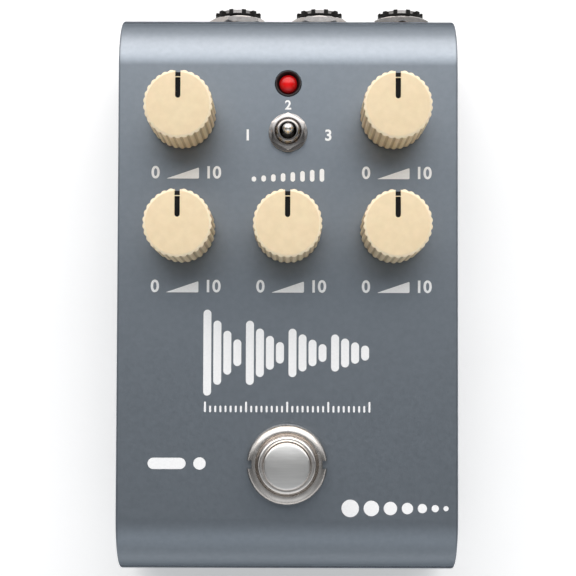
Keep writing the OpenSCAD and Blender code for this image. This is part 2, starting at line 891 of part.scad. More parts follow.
module jack_nuts() {
    nut_y = rear_y + jack_washer_t;
    corner_d = jack_nut_af / cos(30);
    top_d = jack_nut_af - 2 * jack_nut_edge;
    turns = [12, 0, 30];
    color([0.83, 0.83, 0.85])
        for (i = [0 : len(jack_sides) - 1])
            translate([jack_left + i * jack_pitch, 0, jack_z])
                difference() {
                    intersection() {
                        rotate([0, turns[i], 0])
                            rearward(corner_d, nut_y, jack_nut_t, 6);
                        translate([0, nut_y, 0])
                            rotate([-90, 0, 0])
                                cylinder(d1 = top_d + 2 * jack_nut_t, d2 = top_d, h = jack_nut_t);
                    }
                    rearward(jack_bush_d + 2 * fit_clear, nut_y - past, jack_nut_t + 2 * past);
                }
}

module jack_contacts() {
    riser_h = jack_z + jack_h / 2 - contact_z;
    color([0.8, 0.7, 0.4])
        for (i = [0 : len(jack_sides) - 1])
            translate([jack_left + i * jack_pitch - contact_w / 2, contact_y, contact_z]) {
                cube([contact_w, contact_l, contact_t]);
                cube([contact_w, contact_t, riser_h]);
            }
}

module power_inlet() {
    color([0.08, 0.08, 0.09])
        translate([power_left, 0, 0])
            difference() {
                union() {
                    translate([-power_w / 2, power_end, jack_board_top])
                        cube([power_w, power_d, power_h]);
                    translate([0, 0, jack_z])
                        rearward(power_nose_d, rear_in - past, wall + past);
                }
                translate([0, 0, jack_z]) {
                    rearward(power_bore_d, power_bore_end, power_bore_l + past);
                    rearward(power_pin_d + 2 * fit_clear, power_end - past, power_d + past);
                }
            }
}

module power_pin() {
    pin_l = rear_y - power_pin_in - power_end;
    color([0.8, 0.78, 0.7])
        translate([power_left, 0, jack_z])
            rearward(power_pin_d, power_end, pin_l);
}

// Circuit board from front to rear with holes for the standoff screws
module board(front, rear, z) {
    color([0.05, 0.25, 0.14])
        difference() {
            translate([-board_half_w, front, z])
                cube([2 * board_half_w, rear - front, board_t]);
            for (s = standoff_spots)
                translate([s[0], s[1], z - past])
                    cylinder(d = board_screw_d + 2 * fit_clear, h = board_t + 2 * past);
        }
}

module control_board() {
    board(board_front, board_rear, board_z);
}

module jack_board() {
    board(standoff_front - board_over, jack_board_rear, jack_board_z);
}

module standoffs() {
    corner_d = standoff_af / cos(30);
    bore = board_screw_d + 2 * fit_clear;
    color([0.78, 0.66, 0.35])
        for (s = standoff_spots)
            translate([s[0], s[1], 0])
                ring(corner_d, bore, jack_board_top, board_z - jack_board_top, 6);
}

// Board screw with its head's seat at z = 0 and its thread downward
module board_screw() {
    cylinder(d = board_head_d, h = board_head_h);
    translate([0, 0, -board_t - board_screw_l])
        cylinder(d = board_screw_d, h = board_t + board_screw_l);
}

module board_screws() {
    color([0.7, 0.7, 0.72])
        for (s = standoff_spots) {
            translate([s[0], s[1], board_top])
                board_screw();
            translate([s[0], s[1], jack_board_z])
                rotate([180, 0, 0])
                    board_screw();
        }
}

module processor() {
    color([0.06, 0.06, 0.07])
        translate([-processor_w / 2, processor_y - processor_w / 2, board_z - processor_t])
            cube([processor_w, processor_w, processor_t]);
}

module small_chips() {
    color([0.07, 0.07, 0.08])
        for (x = [chip_x - board_half_w, board_half_w - chip_x])
            translate([x - chip_w / 2, processor_y - chip_d / 2, board_z - chip_t])
                cube([chip_w, chip_d, chip_t]);
}

module capacitors() {
    color([0.2, 0.2, 0.24])
        for (i = [0 : cap_count - 1])
            translate([(i - (cap_count - 1) / 2) * cap_pitch, cap_y, jack_board_top])
                cylinder(d = cap_d, h = cap_h);
}

module board_header() {
    color([0.08, 0.08, 0.08])
        translate([-header_w / 2, header_y - header_d / 2, jack_board_top])
            cube([header_w, header_d, board_z - jack_board_top]);
}

top_shell();
base_tray();
rubber_feet();
base_screws();
for (p = knob_places) {
    translate([p[1], p[2], 0]) knob();
    translate([p[1], p[2], 0]) pointer();
    translate([p[1], p[2], 0]) shaft();
    translate([p[1], p[2], 0]) pot();
}
pot_washers();
pot_nuts();
lamp_bezel();
lamp_lens();
lamp_leads();
toggle_body();
toggle_washer();
toggle_nut();
toggle_lever();
switch_body();
switch_washer();
switch_nut();
switch_button();
switch_spring();
for (i = [0 : len(jack_sides) - 1])
    translate([jack_left + i * jack_pitch, 0, 0]) jack();
jack_washers();
jack_nuts();
jack_contacts();
power_inlet();
power_pin();
control_board();
jack_board();
standoffs();
board_screws();
processor();
small_chips();
capacitors();
board_header();
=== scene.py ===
"""A compact echo pedal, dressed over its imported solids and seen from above.

Shapes are drawn in millimetres and become metres when a piece is made.
"""
import json
import math

import bmesh
import bpy
from mathutils import Matrix, Vector

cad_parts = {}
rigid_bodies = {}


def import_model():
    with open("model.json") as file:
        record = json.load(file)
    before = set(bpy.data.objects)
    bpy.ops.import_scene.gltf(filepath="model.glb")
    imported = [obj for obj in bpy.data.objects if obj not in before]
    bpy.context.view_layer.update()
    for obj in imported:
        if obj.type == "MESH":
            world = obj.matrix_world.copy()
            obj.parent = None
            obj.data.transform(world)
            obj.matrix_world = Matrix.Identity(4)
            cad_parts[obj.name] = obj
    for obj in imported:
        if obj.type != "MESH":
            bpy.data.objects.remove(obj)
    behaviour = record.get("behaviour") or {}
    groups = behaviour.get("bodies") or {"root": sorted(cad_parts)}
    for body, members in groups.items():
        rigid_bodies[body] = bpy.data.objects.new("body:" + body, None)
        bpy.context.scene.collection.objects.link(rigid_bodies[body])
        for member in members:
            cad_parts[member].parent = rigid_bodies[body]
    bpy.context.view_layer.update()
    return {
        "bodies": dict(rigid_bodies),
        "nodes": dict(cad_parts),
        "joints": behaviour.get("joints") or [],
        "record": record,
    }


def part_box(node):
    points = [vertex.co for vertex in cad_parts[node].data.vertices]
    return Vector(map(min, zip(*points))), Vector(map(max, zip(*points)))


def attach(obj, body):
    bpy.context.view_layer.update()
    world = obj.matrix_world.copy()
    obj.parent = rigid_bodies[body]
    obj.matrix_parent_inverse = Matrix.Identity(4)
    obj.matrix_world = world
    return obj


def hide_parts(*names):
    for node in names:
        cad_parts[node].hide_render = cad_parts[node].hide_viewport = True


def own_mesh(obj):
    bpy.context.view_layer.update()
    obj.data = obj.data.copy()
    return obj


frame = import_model()
MM = 0.001


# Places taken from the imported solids

def span(node):
    """Lowest and highest corner of a CAD node, in millimetres."""
    low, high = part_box(node)
    return low / MM, high / MM


def axis_of(node):
    """Middle of a CAD node seen from above, at its lowest level."""
    low, high = span(node)
    return Vector(((low.x + high.x) / 2, (low.y + high.y) / 2, low.z))


JOINT_AT = {j["child"]: Vector(j["pos_m"]) / MM for j in frame["joints"] if "pos_m" in j}
MOUNT_AT = {m["name"]: Vector(m["pos_m"]) / MM for m in frame["record"]["mounts"]}
DIAL = "dial_"
KNOB_PLACES = [body.removeprefix(DIAL) for body in frame["bodies"] if body.startswith(DIAL)]
JACK_SIDES = ["left", "middle", "right"]

shell_low, shell_high = span("top_shell")
PANEL = shell_high.z
SIDE = shell_high.x
FRONT, REAR = shell_low.y, shell_high.y
SHELL_FOOT = shell_low.z
WALL = 2.0
BEND = 11.0
UNDER = PANEL - WALL
PLATE = span("base_tray")[0].z
SWITCH = axis_of("switch_nut")
LAMP = axis_of("lamp_bezel")
TOGGLE = JOINT_AT["toggle"]

# Mesh tools

EDGE_SHARE = 0.48  # the most of an edge that one rounded corner takes
ON_AXIS = 1e-6
SLIVER = 1e-5
OVER = 1  # how far a cutter reaches past what it cuts
DISC_SIDES = 30
ROOT_END, CREST_START, CREST_END = 0.2, 0.5, 0.7  # a thread's ridge, in shares of its pitch
CHAMFER_STEPS = 6
SOFTEN_SEGMENTS, SOFTEN_ANGLE = 3, 40
FLAT_WEIGHT = 80
# Stands a flat outline up: its x runs along Y, its y along Z and its height along X
STAND = Matrix(((0, 0, 1, 0), (1, 0, 0, 0), (0, 1, 0, 0), (0, 0, 0, 1)))


def eased(points, cut, steps=4, closed=True):
    """Outline with cut taken off both sides of each corner, which is then rounded."""
    points = [Vector(p) for p in points]
    count = len(points)
    out = []
    for i, p in enumerate(points):
        if not closed and i in (0, count - 1):
            out.append(p)
            continue
        before = points[i - 1] - p
        after = points[(i + 1) % count] - p
        reach = min(cut, before.length * EDGE_SHARE, after.length * EDGE_SHARE)
        a = p + before.normalized() * reach
        b = p + after.normalized() * reach
        for k in range(steps + 1):
            t = k / steps
            out.append(a * (1 - t) ** 2 + p * (2 * t * (1 - t)) + b * t ** 2)
    return out


def arc(cx, cy, r, start, end, steps, tall=None):
    """Points on a circle from start to end, in degrees, or on an oval that is tall in y."""
    turns = [math.radians(start + (end - start) * k / steps) for k in range(steps + 1)]
    return [(cx + r * math.cos(t), cy + (tall or r) * math.sin(t)) for t in turns]


def disc(x, y, r):
    """Outline of a full circle."""
    return arc(x, y, r, 0, 360 - 360 / DISC_SIDES, DISC_SIDES - 1)


def capsule(x0, y0, x1, y1, width, steps=10):
    """Outline of a line with round ends."""
    lean = math.degrees(math.atan2(y1 - y0, x1 - x0))
    near = arc(x0, y0, width / 2, lean + 90, lean + 270, steps)
    far = arc(x1, y1, width / 2, lean - 90, lean + 90, steps)
    return near + far


def thread(radius, low, high, pitch, depth):
    """Outline of a thread's ridges from low to high."""
    count = max(1, int((high - low) / pitch))
    step = (high - low) / count
    out = []
    for i in range(count):
        z = low + i * step
        out += [
            (radius - depth, z), (radius - depth, z + step * ROOT_END),
            (radius, z + step * CREST_START), (radius, z + step * CREST_END),
        ]
    return out + [(radius - depth, high)]


def around(sides):
    """Angles of one full turn in equal steps."""
    return [2 * math.pi * i / sides for i in range(sides)]


def ring(bm, radii, z):
    """Vertices about the Z axis at one height, in equal steps, one for each radius."""
    places = zip(radii, around(len(radii)))
    return [bm.verts.new((r * math.cos(t), r * math.sin(t), z)) for r, t in places]


def skin(bm, rings, closed=True):
    """Faces between neighbouring rings; a ring of one vertex is a pole."""
    pairs = list(zip(rings, rings[1:]))
    if closed:
        pairs.append((rings[-1], rings[0]))
    for a, b in pairs:
        count = max(len(a), len(b))
        if count == 1:
            continue
        for i in range(count):
            j = (i + 1) % count
            if len(a) == 1:
                bm.faces.new((a[0], b[j], b[i]))
            elif len(b) == 1:
                bm.faces.new((a[i], a[j], b[0]))
            else:
                bm.faces.new((a[i], a[j], b[j], b[i]))


def turned(profile, sides=96):
    """Solid turned about Z from a closed outline of (radius, height) points."""
    bm = bmesh.new()
    rings = []
    for r, z in profile:
        rings.append([bm.verts.new((0, 0, z))] if r < ON_AXIS else ring(bm, [r] * sides, z))
    skin(bm, rings)
    return bm


def prism(outline, low, high):
    """Straight solid over a flat outline, from low to high."""
    bm = bmesh.new()
    floor = [bm.verts.new((p[0], p[1], low)) for p in outline]
    roof = [bm.verts.new((p[0], p[1], high)) for p in outline]
    skin(bm, [floor, roof], closed=False)
    bm.faces.new(list(reversed(floor)))
    bm.faces.new(roof)
    return bm


def block(x0, x1, y0, y1, z0, z1):
    """Solid between three pairs of planes."""
    return prism([(x0, y0), (x1, y0), (x1, y1), (x0, y1)], z0, z1)


def hex_nut(flats, bore, thick, inside, lean=60, lead=0.25, sides=96):
    """Six-sided nut standing on z = 0, with a bore that widens by lead at both ends.

    Its corners are turned off top and bottom at lean degrees from upright, from inside the flats outwards.
    """
    slope = math.tan(math.radians(lean))
    half_side = math.pi / 6
    corner = flats / 2 / math.cos(half_side)
    top_r = flats / 2 - inside
    depth = (corner - top_r) / slope
    steps = [depth * k / CHAMFER_STEPS for k in range(CHAMFER_STEPS + 1)]
    levels = [(d, d) for d in steps] + [(thick - d, d) for d in reversed(steps)]

    def reach(t, d):
        off = (t + half_side) % (2 * half_side) - half_side
        return min(flats / 2 / math.cos(half_side - abs(off)), top_r + d * slope)

    bm = bmesh.new()
    rings = [ring(bm, [reach(t, d) for t in around(sides)], z) for z, d in levels]
    for r, z in ((bore + lead, thick), (bore, thick - lead), (bore, lead), (bore + lead, 0)):
        rings.append(ring(bm, [r] * sides, z))
    skin(bm, rings)
    return bm


def coil_mesh(radius, wire, low, high, turns, steps=28, sides=10):
    """Round wire wound about Z from low to high, with steps to a turn."""
    bm = bmesh.new()
    last = steps * turns
    rings = []
    for k in range(last + 1):
        t = 2 * math.pi * k / steps
        z = low + wire + (high - low - 2 * wire) * k / last
        rings.append([
            bm.verts.new((
                (radius + wire * math.cos(a)) * math.cos(t),
                (radius + wire * math.cos(a)) * math.sin(t),
                z + wire * math.sin(a),
            ))
            for a in around(sides)
        ])
    skin(bm, rings, closed=False)
    bm.faces.new(rings[0])
    bm.faces.new(rings[-1])
    return bm


def shift(x, y, z):
    return Matrix.Translation((x, y, z))


def spin(degrees, axis):
    return Matrix.Rotation(math.radians(degrees), 4, axis)


def moved(bm, *matrices):
    """The same mesh, moved by each matrix in turn."""
    for m in matrices:
        bmesh.ops.transform(bm, matrix=m, verts=bm.verts)
    return bm


def joined(*meshes):
    """All the meshes in one."""
    whole = bmesh.new()
    for bm in meshes:
        part = bpy.data.meshes.new("part")
        bm.to_mesh(part)
        bm.free()
        whole.from_mesh(part)
        bpy.data.meshes.remove(part)
    return whole


def loose_object(bm, name):
    """Object in the scene that rides on nothing yet."""
    bmesh.ops.recalc_face_normals(bm, faces=bm.faces)
    mesh = bpy.data.meshes.new(name)
    bm.to_mesh(mesh)
    bm.free()
    obj = bpy.data.objects.new(name, mesh)
    bpy.context.scene.collection.objects.link(obj)
    return obj


def discard(obj):
    mesh = obj.data
    bpy.data.objects.remove(obj)
    bpy.data.meshes.remove(mesh)


def carved(bm, cutter):
    """The first mesh with the second cut out of it."""
    base = loose_object(bm, "base")
    tool = loose_object(cutter, "tool")
    cut = base.modifiers.new("cut", "BOOLEAN")
    cut.operation = "DIFFERENCE"
    cut.solver = "EXACT"
    cut.use_self = True
    cut.object = tool
    bpy.context.view_layer.update()
    result = bpy.data.meshes.new_from_object(base.evaluated_get(bpy.context.evaluated_depsgraph_get()))
    out = bmesh.new()
    out.from_mesh(result)
    bpy.data.meshes.remove(result)
    discard(base)
    discard(tool)
    bmesh.ops.dissolve_degenerate(out, dist=SLIVER, edges=out.edges)
    return out


def piece(name, bm, materials, body="enclosure", nodes=(), smooth=32, soften=0.0):
    """Make a piece of the pedal from a mesh in millimetres."""
    bmesh.ops.recalc_face_normals(bm, faces=bm.faces)
    bmesh.ops.scale(bm, vec=(MM, MM, MM), verts=bm.verts)
    mesh = bpy.data.meshes.new(name)
    bm.to_mesh(mesh)
    bm.free()
    mesh.shade_smooth()
    mesh.set_sharp_from_angle(angle=math.radians(smooth))
    for material in materials:
        mesh.materials.append(material)
    obj = bpy.data.objects.new(name, mesh)
    bpy.context.scene.collection.objects.link(obj)
    if soften:
        bevel = obj.modifiers.new("soften", "BEVEL")
        bevel.width = soften * MM
        bevel.segments = SOFTEN_SEGMENTS
        bevel.limit_method = "ANGLE"
        bevel.angle_limit = math.radians(SOFTEN_ANGLE)
        bevel.harden_normals = True
    else:
        flat = obj.modifiers.new("flat faces", "WEIGHTED_NORMAL")
        flat.weight = FLAT_WEIGHT
        flat.keep_sharp = True
    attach(obj, body)
    if nodes:
        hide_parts(*nodes)
    return obj


# Materials

TINT_RANGE, TINT_DETAIL = (0.35, 0.65), 4
GLOSS_RANGE, GLOSS_DETAIL, GLOSS_GRAIN = (0.3, 0.7), 3, 1.7
RELIEF_STRENGTH, RELIEF_DETAIL = 0.6, 2
GLOW_RADII, GLOW_LEVELS = (0.3, 1.7), (0.42, 0.03)


def ranged(tree, source, before, after=(0, 1), smooth=False):
    """The source's values moved from one range to another, and held at its ends."""
    node = tree.nodes.new("ShaderNodeMapRange")
    if smooth:
        node.interpolation_type = "SMOOTHSTEP"
    for name, value in zip(("From Min", "From Max", "To Min", "To Max"), (*before, *after)):
        node.inputs[name].default_value = value
    tree.links.new(source, node.inputs["Value"])
    return node.outputs["Result"]


def surface(name, dark, light, rough, grain=600, fine=3000, lift=0.01, stretch=(1, 1, 1), **sockets):
    """Material whose colour, roughness and relief all vary; grain and fine are per metre, lift in mm."""
    mat = bpy.data.materials.new(name)
    mat.use_nodes = True
    nodes, links = mat.node_tree.nodes, mat.node_tree.links
    bsdf = nodes["Principled BSDF"]
    place = nodes.new("ShaderNodeTexCoord")
    scale = nodes.new("ShaderNodeMapping")
    scale.inputs["Scale"].default_value = stretch
    links.new(place.outputs["Object"], scale.inputs["Vector"])

    def noise(size, detail):
        n = nodes.new("ShaderNodeTexNoise")
        n.inputs["Scale"].default_value = size
        n.inputs["Detail"].default_value = detail
        links.new(scale.outputs["Vector"], n.inputs["Vector"])
        return n.outputs["Fac"]

    tint = nodes.new("ShaderNodeValToRGB")
    for stop, position, colour in zip(tint.color_ramp.elements, TINT_RANGE, (dark, light)):
        stop.position = position
        stop.color = (*colour, 1)
    links.new(noise(grain, TINT_DETAIL), tint.inputs["Fac"])
    links.new(tint.outputs["Color"], bsdf.inputs["Base Color"])

    gloss = noise(grain * GLOSS_GRAIN, GLOSS_DETAIL)
    links.new(ranged(mat.node_tree, gloss, GLOSS_RANGE, rough), bsdf.inputs["Roughness"])

    relief = nodes.new("ShaderNodeBump")
    relief.inputs["Strength"].default_value = RELIEF_STRENGTH
    relief.inputs["Distance"].default_value = lift * MM
    links.new(noise(fine, RELIEF_DETAIL), relief.inputs["Height"])
    links.new(relief.outputs["Normal"], bsdf.inputs["Normal"])
    for socket, value in sockets.items():
        bsdf.inputs[socket.replace("_", " ")].default_value = value
    return mat


def light_lens(mat):
    """Let the lamp's lens shine, most in its middle."""
    nodes, links = mat.node_tree.nodes, mat.node_tree.links
    flat = nodes.new("ShaderNodeVectorMath")
    flat.operation = "MULTIPLY"
    flat.inputs[1].default_value = (1, 1, 0)
    links.new(nodes["Texture Coordinate"].outputs["Object"], flat.inputs[0])
    far = nodes.new("ShaderNodeVectorMath")
    far.operation = "DISTANCE"
    far.inputs[1].default_value = (LAMP.x * MM, LAMP.y * MM, 0)
    links.new(flat.outputs["Vector"], far.inputs[0])
    radii = [r * MM for r in GLOW_RADII]
    glow = ranged(mat.node_tree, far.outputs["Value"], radii, GLOW_LEVELS, smooth=True)
    links.new(glow, nodes["Principled BSDF"].inputs["Emission Strength"])


PAINT_COAT = {
    "Specular_Tint": (0.04, 0.04, 0.04, 1), "Sheen_Weight": 0.8, "Sheen_Roughness": 0.35,
    "Sheen_Tint": (0.42, 0.47, 0.53, 1),
}
MOULDED = {"Subsurface_Weight": 0.08, "Subsurface_Scale": 0.001}

slate = surface(
    "slate_paint", (0.2282, 0.2545, 0.2837), (0.2408, 0.2681, 0.2993), (0.36, 0.42),
    grain=900, fine=5200, lift=0.01, Metallic=0.98, **PAINT_COAT,
)
tray_slate = surface(
    "tray_paint", (0.21, 0.234, 0.26), (0.222, 0.247, 0.275), (0.38, 0.45),
    grain=900, fine=5200, lift=0.008, Metallic=0.92, **PAINT_COAT,
)
cream = surface(
    "cream_plastic", (0.79, 0.635, 0.41), (0.83, 0.672, 0.44), (0.42, 0.52),
    grain=700, fine=6000, lift=0.006, **MOULDED,
)
# Lighter cream for the knob's bevel: a painted highlight round its top edge
cream_rim = surface(
    "cream_rim", (0.85, 0.715, 0.50), (0.90, 0.765, 0.55), (0.36, 0.46),
    grain=900, fine=6000, lift=0.006, **MOULDED,
)
# Darker cream for the walls deep in the knob's flutes: painted shade
cream_groove = surface(
    "cream_groove", (0.54, 0.42, 0.26), (0.60, 0.475, 0.30), (0.5, 0.6),
    grain=900, fine=6000, lift=0.006,
)
pointer_fill = surface(
    "pointer_fill", (0.003, 0.003, 0.003), (0.008, 0.0075, 0.007), (0.45, 0.6),
    fine=4000, lift=0.01, Specular_IOR_Level=0.12,
)
chrome = surface(
    "chrome_plate", (0.80, 0.755, 0.715), (0.86, 0.815, 0.775), (0.18, 0.26),
    grain=500, fine=2500, lift=0.002, Metallic=1.0,
)
satin_chrome = surface(
    "satin_chrome", (0.56, 0.522, 0.49), (0.62, 0.582, 0.545), (0.22, 0.28),
    grain=900, fine=3500, lift=0.003, Metallic=1.0,
)
dark_nickel = surface(
    "dark_nickel", (0.37, 0.342, 0.325), (0.44, 0.41, 0.39), (0.12, 0.22),
    grain=900, fine=3500, lift=0.003, Metallic=1.0,
)
brushed = surface(
    "brushed_steel", (0.73, 0.71, 0.685), (0.77, 0.75, 0.725), (0.3, 0.36),
    grain=2600, fine=9000, lift=0.002, stretch=(0.05, 1, 1), Metallic=1.0,
)
steel = surface(
    "plain_steel", (0.46, 0.46, 0.47), (0.56, 0.56, 0.57), (0.25, 0.4), lift=0.004, Metallic=1.0,
)
black_steel = surface(
    "black_oxide", (0.03, 0.03, 0.033), (0.05, 0.05, 0.054), (0.3, 0.45), lift=0.006, Metallic=0.8,
)
black_plastic = surface(
    "black_plastic", (0.012, 0.012, 0.013), (0.02, 0.02, 0.021), (0.32, 0.45), fine=5000, lift=0.01,
)
socket_black = surface(
    "socket_black", (0.005, 0.005, 0.005), (0.01, 0.0095, 0.009), (0.45, 0.6),
    fine=5000, lift=0.01, Specular_IOR_Level=0.15,
)
rubber = surface(
    "foot_rubber", (0.014, 0.014, 0.014), (0.028, 0.028, 0.027), (0.7, 0.85), fine=2500, lift=0.05,
)
red_lens = surface(
    "red_lens", (0.34, 0.003, 0.004), (0.42, 0.006, 0.006), (0.13, 0.2),
    grain=300, lift=0.002, Specular_IOR_Level=0.4, Emission_Color=(1.0, 0.006, 0.005, 1),
)
light_lens(red_lens)
brass = surface(
    "brass", (0.66, 0.49, 0.2), (0.76, 0.58, 0.27), (0.25, 0.38), lift=0.004, Metallic=1.0,
)
pot_metal = surface(
    "pot_case", (0.33, 0.33, 0.34), (0.43, 0.43, 0.44), (0.35, 0.5), lift=0.006, Metallic=0.9,
)
mask_green = surface(
    "solder_mask", (0.012, 0.075, 0.036), (0.02, 0.115, 0.055), (0.3, 0.42),
    grain=350, fine=1200, lift=0.02,
)
chip = surface(
    "chip_epoxy", (0.014, 0.014, 0.015), (0.026, 0.026, 0.027), (0.55, 0.7), fine=6000, lift=0.012,
)
can = surface(
    "capacitor_can", (0.42, 0.42, 0.44), (0.54, 0.54, 0.56), (0.28, 0.4),
    stretch=(1, 1, 0.1), lift=0.004, Metallic=1.0,
)
ink = surface(
    "white_ink", (0.89, 0.895, 0.90), (0.93, 0.93, 0.93), (0.45, 0.6), grain=2500, fine=5200, lift=0.006,
)

# Enclosure

BEND_STEPS = 24
SHELL_EDGE = 0.5
POT_HOLE, LAMP_HOLE, TOGGLE_HOLE, SWITCH_HOLE = 3.65, 2.65, 2.45, 5.7
JACK_HOLE, INLET_HOLE = 4.85, 4.15
DRILL = 4
FLANGE_INSET, FLANGE_DEEP = 1.6, 8.0
TRAY_CORNER = 1.4
SCREW_FROM_SIDE, SCREW_FROM_WALL = 8.5, 4
SINK_R, SINK_DEEP, SCREW_R = 2.85, 1.3, 1.55
SIDE_SHEET, SIDE_GAP, SIDE_DIP, SIDE_STEPS = 1.5, 0.1, 0.8, 16
FOOT_R, FOOT_TIP_R, FOOT_ROUND = 5.5, 4.9, 0.5
FOOT_DISH = [(0.0, 0.25), (1.6, 0.25), (2.0, 0.0)]


def shell_path():
    """Outer line of the shell from its front foot to its rear foot, as (y, z, outward y, outward z)."""
    out = [(FRONT, SHELL_FOOT, -1.0, 0.0)]
    for centre, start in ((FRONT + BEND, 180), (REAR - BEND, 90)):
        for k in range(BEND_STEPS + 1):
            t = math.radians(start - 90 * k / BEND_STEPS)
            c, s = math.cos(t), math.sin(t)
            out.append((centre + BEND * c, PANEL - BEND + BEND * s, c, s))
    out.append((REAR, SHELL_FOOT, 1.0, 0.0))
    return out


def shell_mesh():
    """The bent sheet, with holes for the controls, the lamp and the sockets."""
    across = [(-SIDE, -WALL), (-SIDE, 0), (SIDE, 0), (SIDE, -WALL)]
    across = eased(across, SHELL_EDGE, steps=6, closed=False)
    sheet = bmesh.new()
    rings = []
    for y, z, ny, nz in shell_path():
        rings.append([sheet.verts.new((x, y + ny * off, z + nz * off)) for x, off in across])
    skin(sheet, rings, closed=False)
    sheet.faces.new(rings[0])
    sheet.faces.new(rings[-1])

    def drill(r, *matrices):
        rod = turned([(0, -DRILL), (r, -DRILL), (r, DRILL), (0, DRILL)], sides=64)
        return moved(rod, *matrices)

    top_holes = [(JOINT_AT[DIAL + p], POT_HOLE) for p in KNOB_PLACES]
    top_holes += [(LAMP, LAMP_HOLE), (TOGGLE, TOGGLE_HOLE), (SWITCH, SWITCH_HOLE)]
    rear_holes = [(MOUNT_AT["jack_bore_" + s], JACK_HOLE) for s in JACK_SIDES]
    rear_holes.append((MOUNT_AT["power_inlet"], INLET_HOLE))
    drills = [drill(r, shift(at.x, at.y, PANEL)) for at, r in top_holes]
    drills += [drill(r, spin(90, "X"), shift(at.x, REAR, at.z)) for at, r in rear_holes]
    return carved(sheet, joined(*drills))


def flange_mesh():
    """The shell's inward feet, which the base screws hold."""
    half = SIDE - FLANGE_INSET
    roof = SHELL_FOOT + WALL
    return joined(
        block(-half, half, FRONT + WALL / 2, FRONT + WALL + FLANGE_DEEP, SHELL_FOOT, roof),
        block(-half, half, REAR - WALL - FLANGE_DEEP, REAR - WALL / 2, SHELL_FOOT, roof),
    )


def tray_mesh():
    """Base plate with countersunk screw holes, and the two side sheets inside the shell's bends."""
    corners = [(-SIDE, FRONT), (SIDE, FRONT), (SIDE, REAR), (-SIDE, REAR)]
    plate = prism(eased(corners, TRAY_CORNER, steps=6), PLATE, SHELL_FOOT)
    sink = [
        (0, -OVER), (SINK_R, -OVER), (SINK_R, 0),
        (SCREW_R, SINK_DEEP), (SCREW_R, DRILL), (0, DRILL),
    ]
    sinks = []
    for x in (-SIDE + SCREW_FROM_SIDE, SIDE - SCREW_FROM_SIDE):
        for y in (FRONT + WALL + SCREW_FROM_WALL, REAR - WALL - SCREW_FROM_WALL):
            sinks.append(moved(turned(sink, sides=48), shift(x, y, PLATE)))
    gap = WALL + SIDE_GAP
    foot = SHELL_FOOT - SIDE_DIP
    outline = (
        [(FRONT + gap, foot)]
        + arc(FRONT + BEND, PANEL - BEND, BEND - gap, 180, 90, SIDE_STEPS)
        + arc(REAR - BEND, PANEL - BEND, BEND - gap, 90, 0, SIDE_STEPS)
        + [(REAR - gap, foot)]
    )
    left = moved(prism(outline, -SIDE, -SIDE + SIDE_SHEET), STAND)
    right = moved(prism(outline, SIDE - SIDE_SHEET, SIDE), STAND)
    return joined(carved(plate, joined(*sinks)), left, right)


def feet_mesh():
    """Four pads with dished soles."""
    low, high = span("rubber_feet")
    height = high.z - low.z
    profile = FOOT_DISH + [(FOOT_TIP_R, 0.0), (FOOT_R, height), (0.0, height)]
    profile = eased(profile, FOOT_ROUND, closed=False)
    out = MOUNT_AT["feet"].x
    pads = []
    for x in (-out, out):
        for y in (low.y + FOOT_R, high.y - FOOT_R):
            pads.append(moved(turned(profile, sides=64), shift(x, y, 0)))
    return joined(*pads)


piece("shell_skin", shell_mesh(), [slate], nodes=["top_shell"], smooth=28)
piece("shell_flanges", flange_mesh(), [slate], soften=0.3)
piece("tray_plates", tray_mesh(), [tray_slate], nodes=["base_tray"], soften=0.25)
piece("foot_pads", feet_mesh(), [rubber], nodes=["rubber_feet"])

# Knobs

KNOB_R = 6.5
KNOB_Z = span("knob_front_middle")[0].z
KNOB_TOP = span("knob_front_middle")[1].z
HOLLOW_R, HOLLOW_DEEP, HOLLOW_MOUTH_R, HOLLOW_LEAD = 5.26, 3, 5.45, 0.3
FLUTES, FLUTE_STEPS = 30, 10
FLUTE_DEPTH, FLUTE_POWER = 0.22, 1.6
SKIRT_CUT = 0.22
BEVEL_W, BEVEL_H = 0.55, 0.26
RIM_DROP, RIM_IN, RIM_IN_DROP = 0.1, 0.04, 0.01
LIP_EASE, LIP_OUT_DROP, LIP_DROP = 0.1, 0.05, 0.012
FACE_RING = 1.0
POINTER_W, POINTER_ROUND = 1.0, 0.15
POINTER_FROM, POINTER_TO = 1.08, 4.97
NOTCH_FROM, GROOVE_FROM = 5.12, 6.0
SLOT_DEEP, NOTCH_DEEP = 0.5, 0.75
FILL_DROP, FILL_END_DROP, FILL_GAP = 0.25, 0.42, 0.01
# Height of a face's normal below which it counts as a wall, and above which as level
WALL_NORMAL, LEVEL_NORMAL = 0.3, 0.985
# How far the bevel's painted highlight reaches, and the share of the flute depth past which flute walls take
# painted shade
HIGHLIGHT_BELOW, HIGHLIGHT_INSIDE, SHADE_GROOVE_SHARE = 0.02, 0.11, 0.55


def pointer_outline(half):
    """Outline of the pointer, round towards the knob's axis and square at the rim."""
    start = POINTER_FROM + half
    end = [(half, start), (half, POINTER_TO), (-half, POINTER_TO), (-half, start)]
    return arc(0, start, half, 180, 360, 10) + eased(end, POINTER_ROUND, steps=3, closed=False)[1:-1]


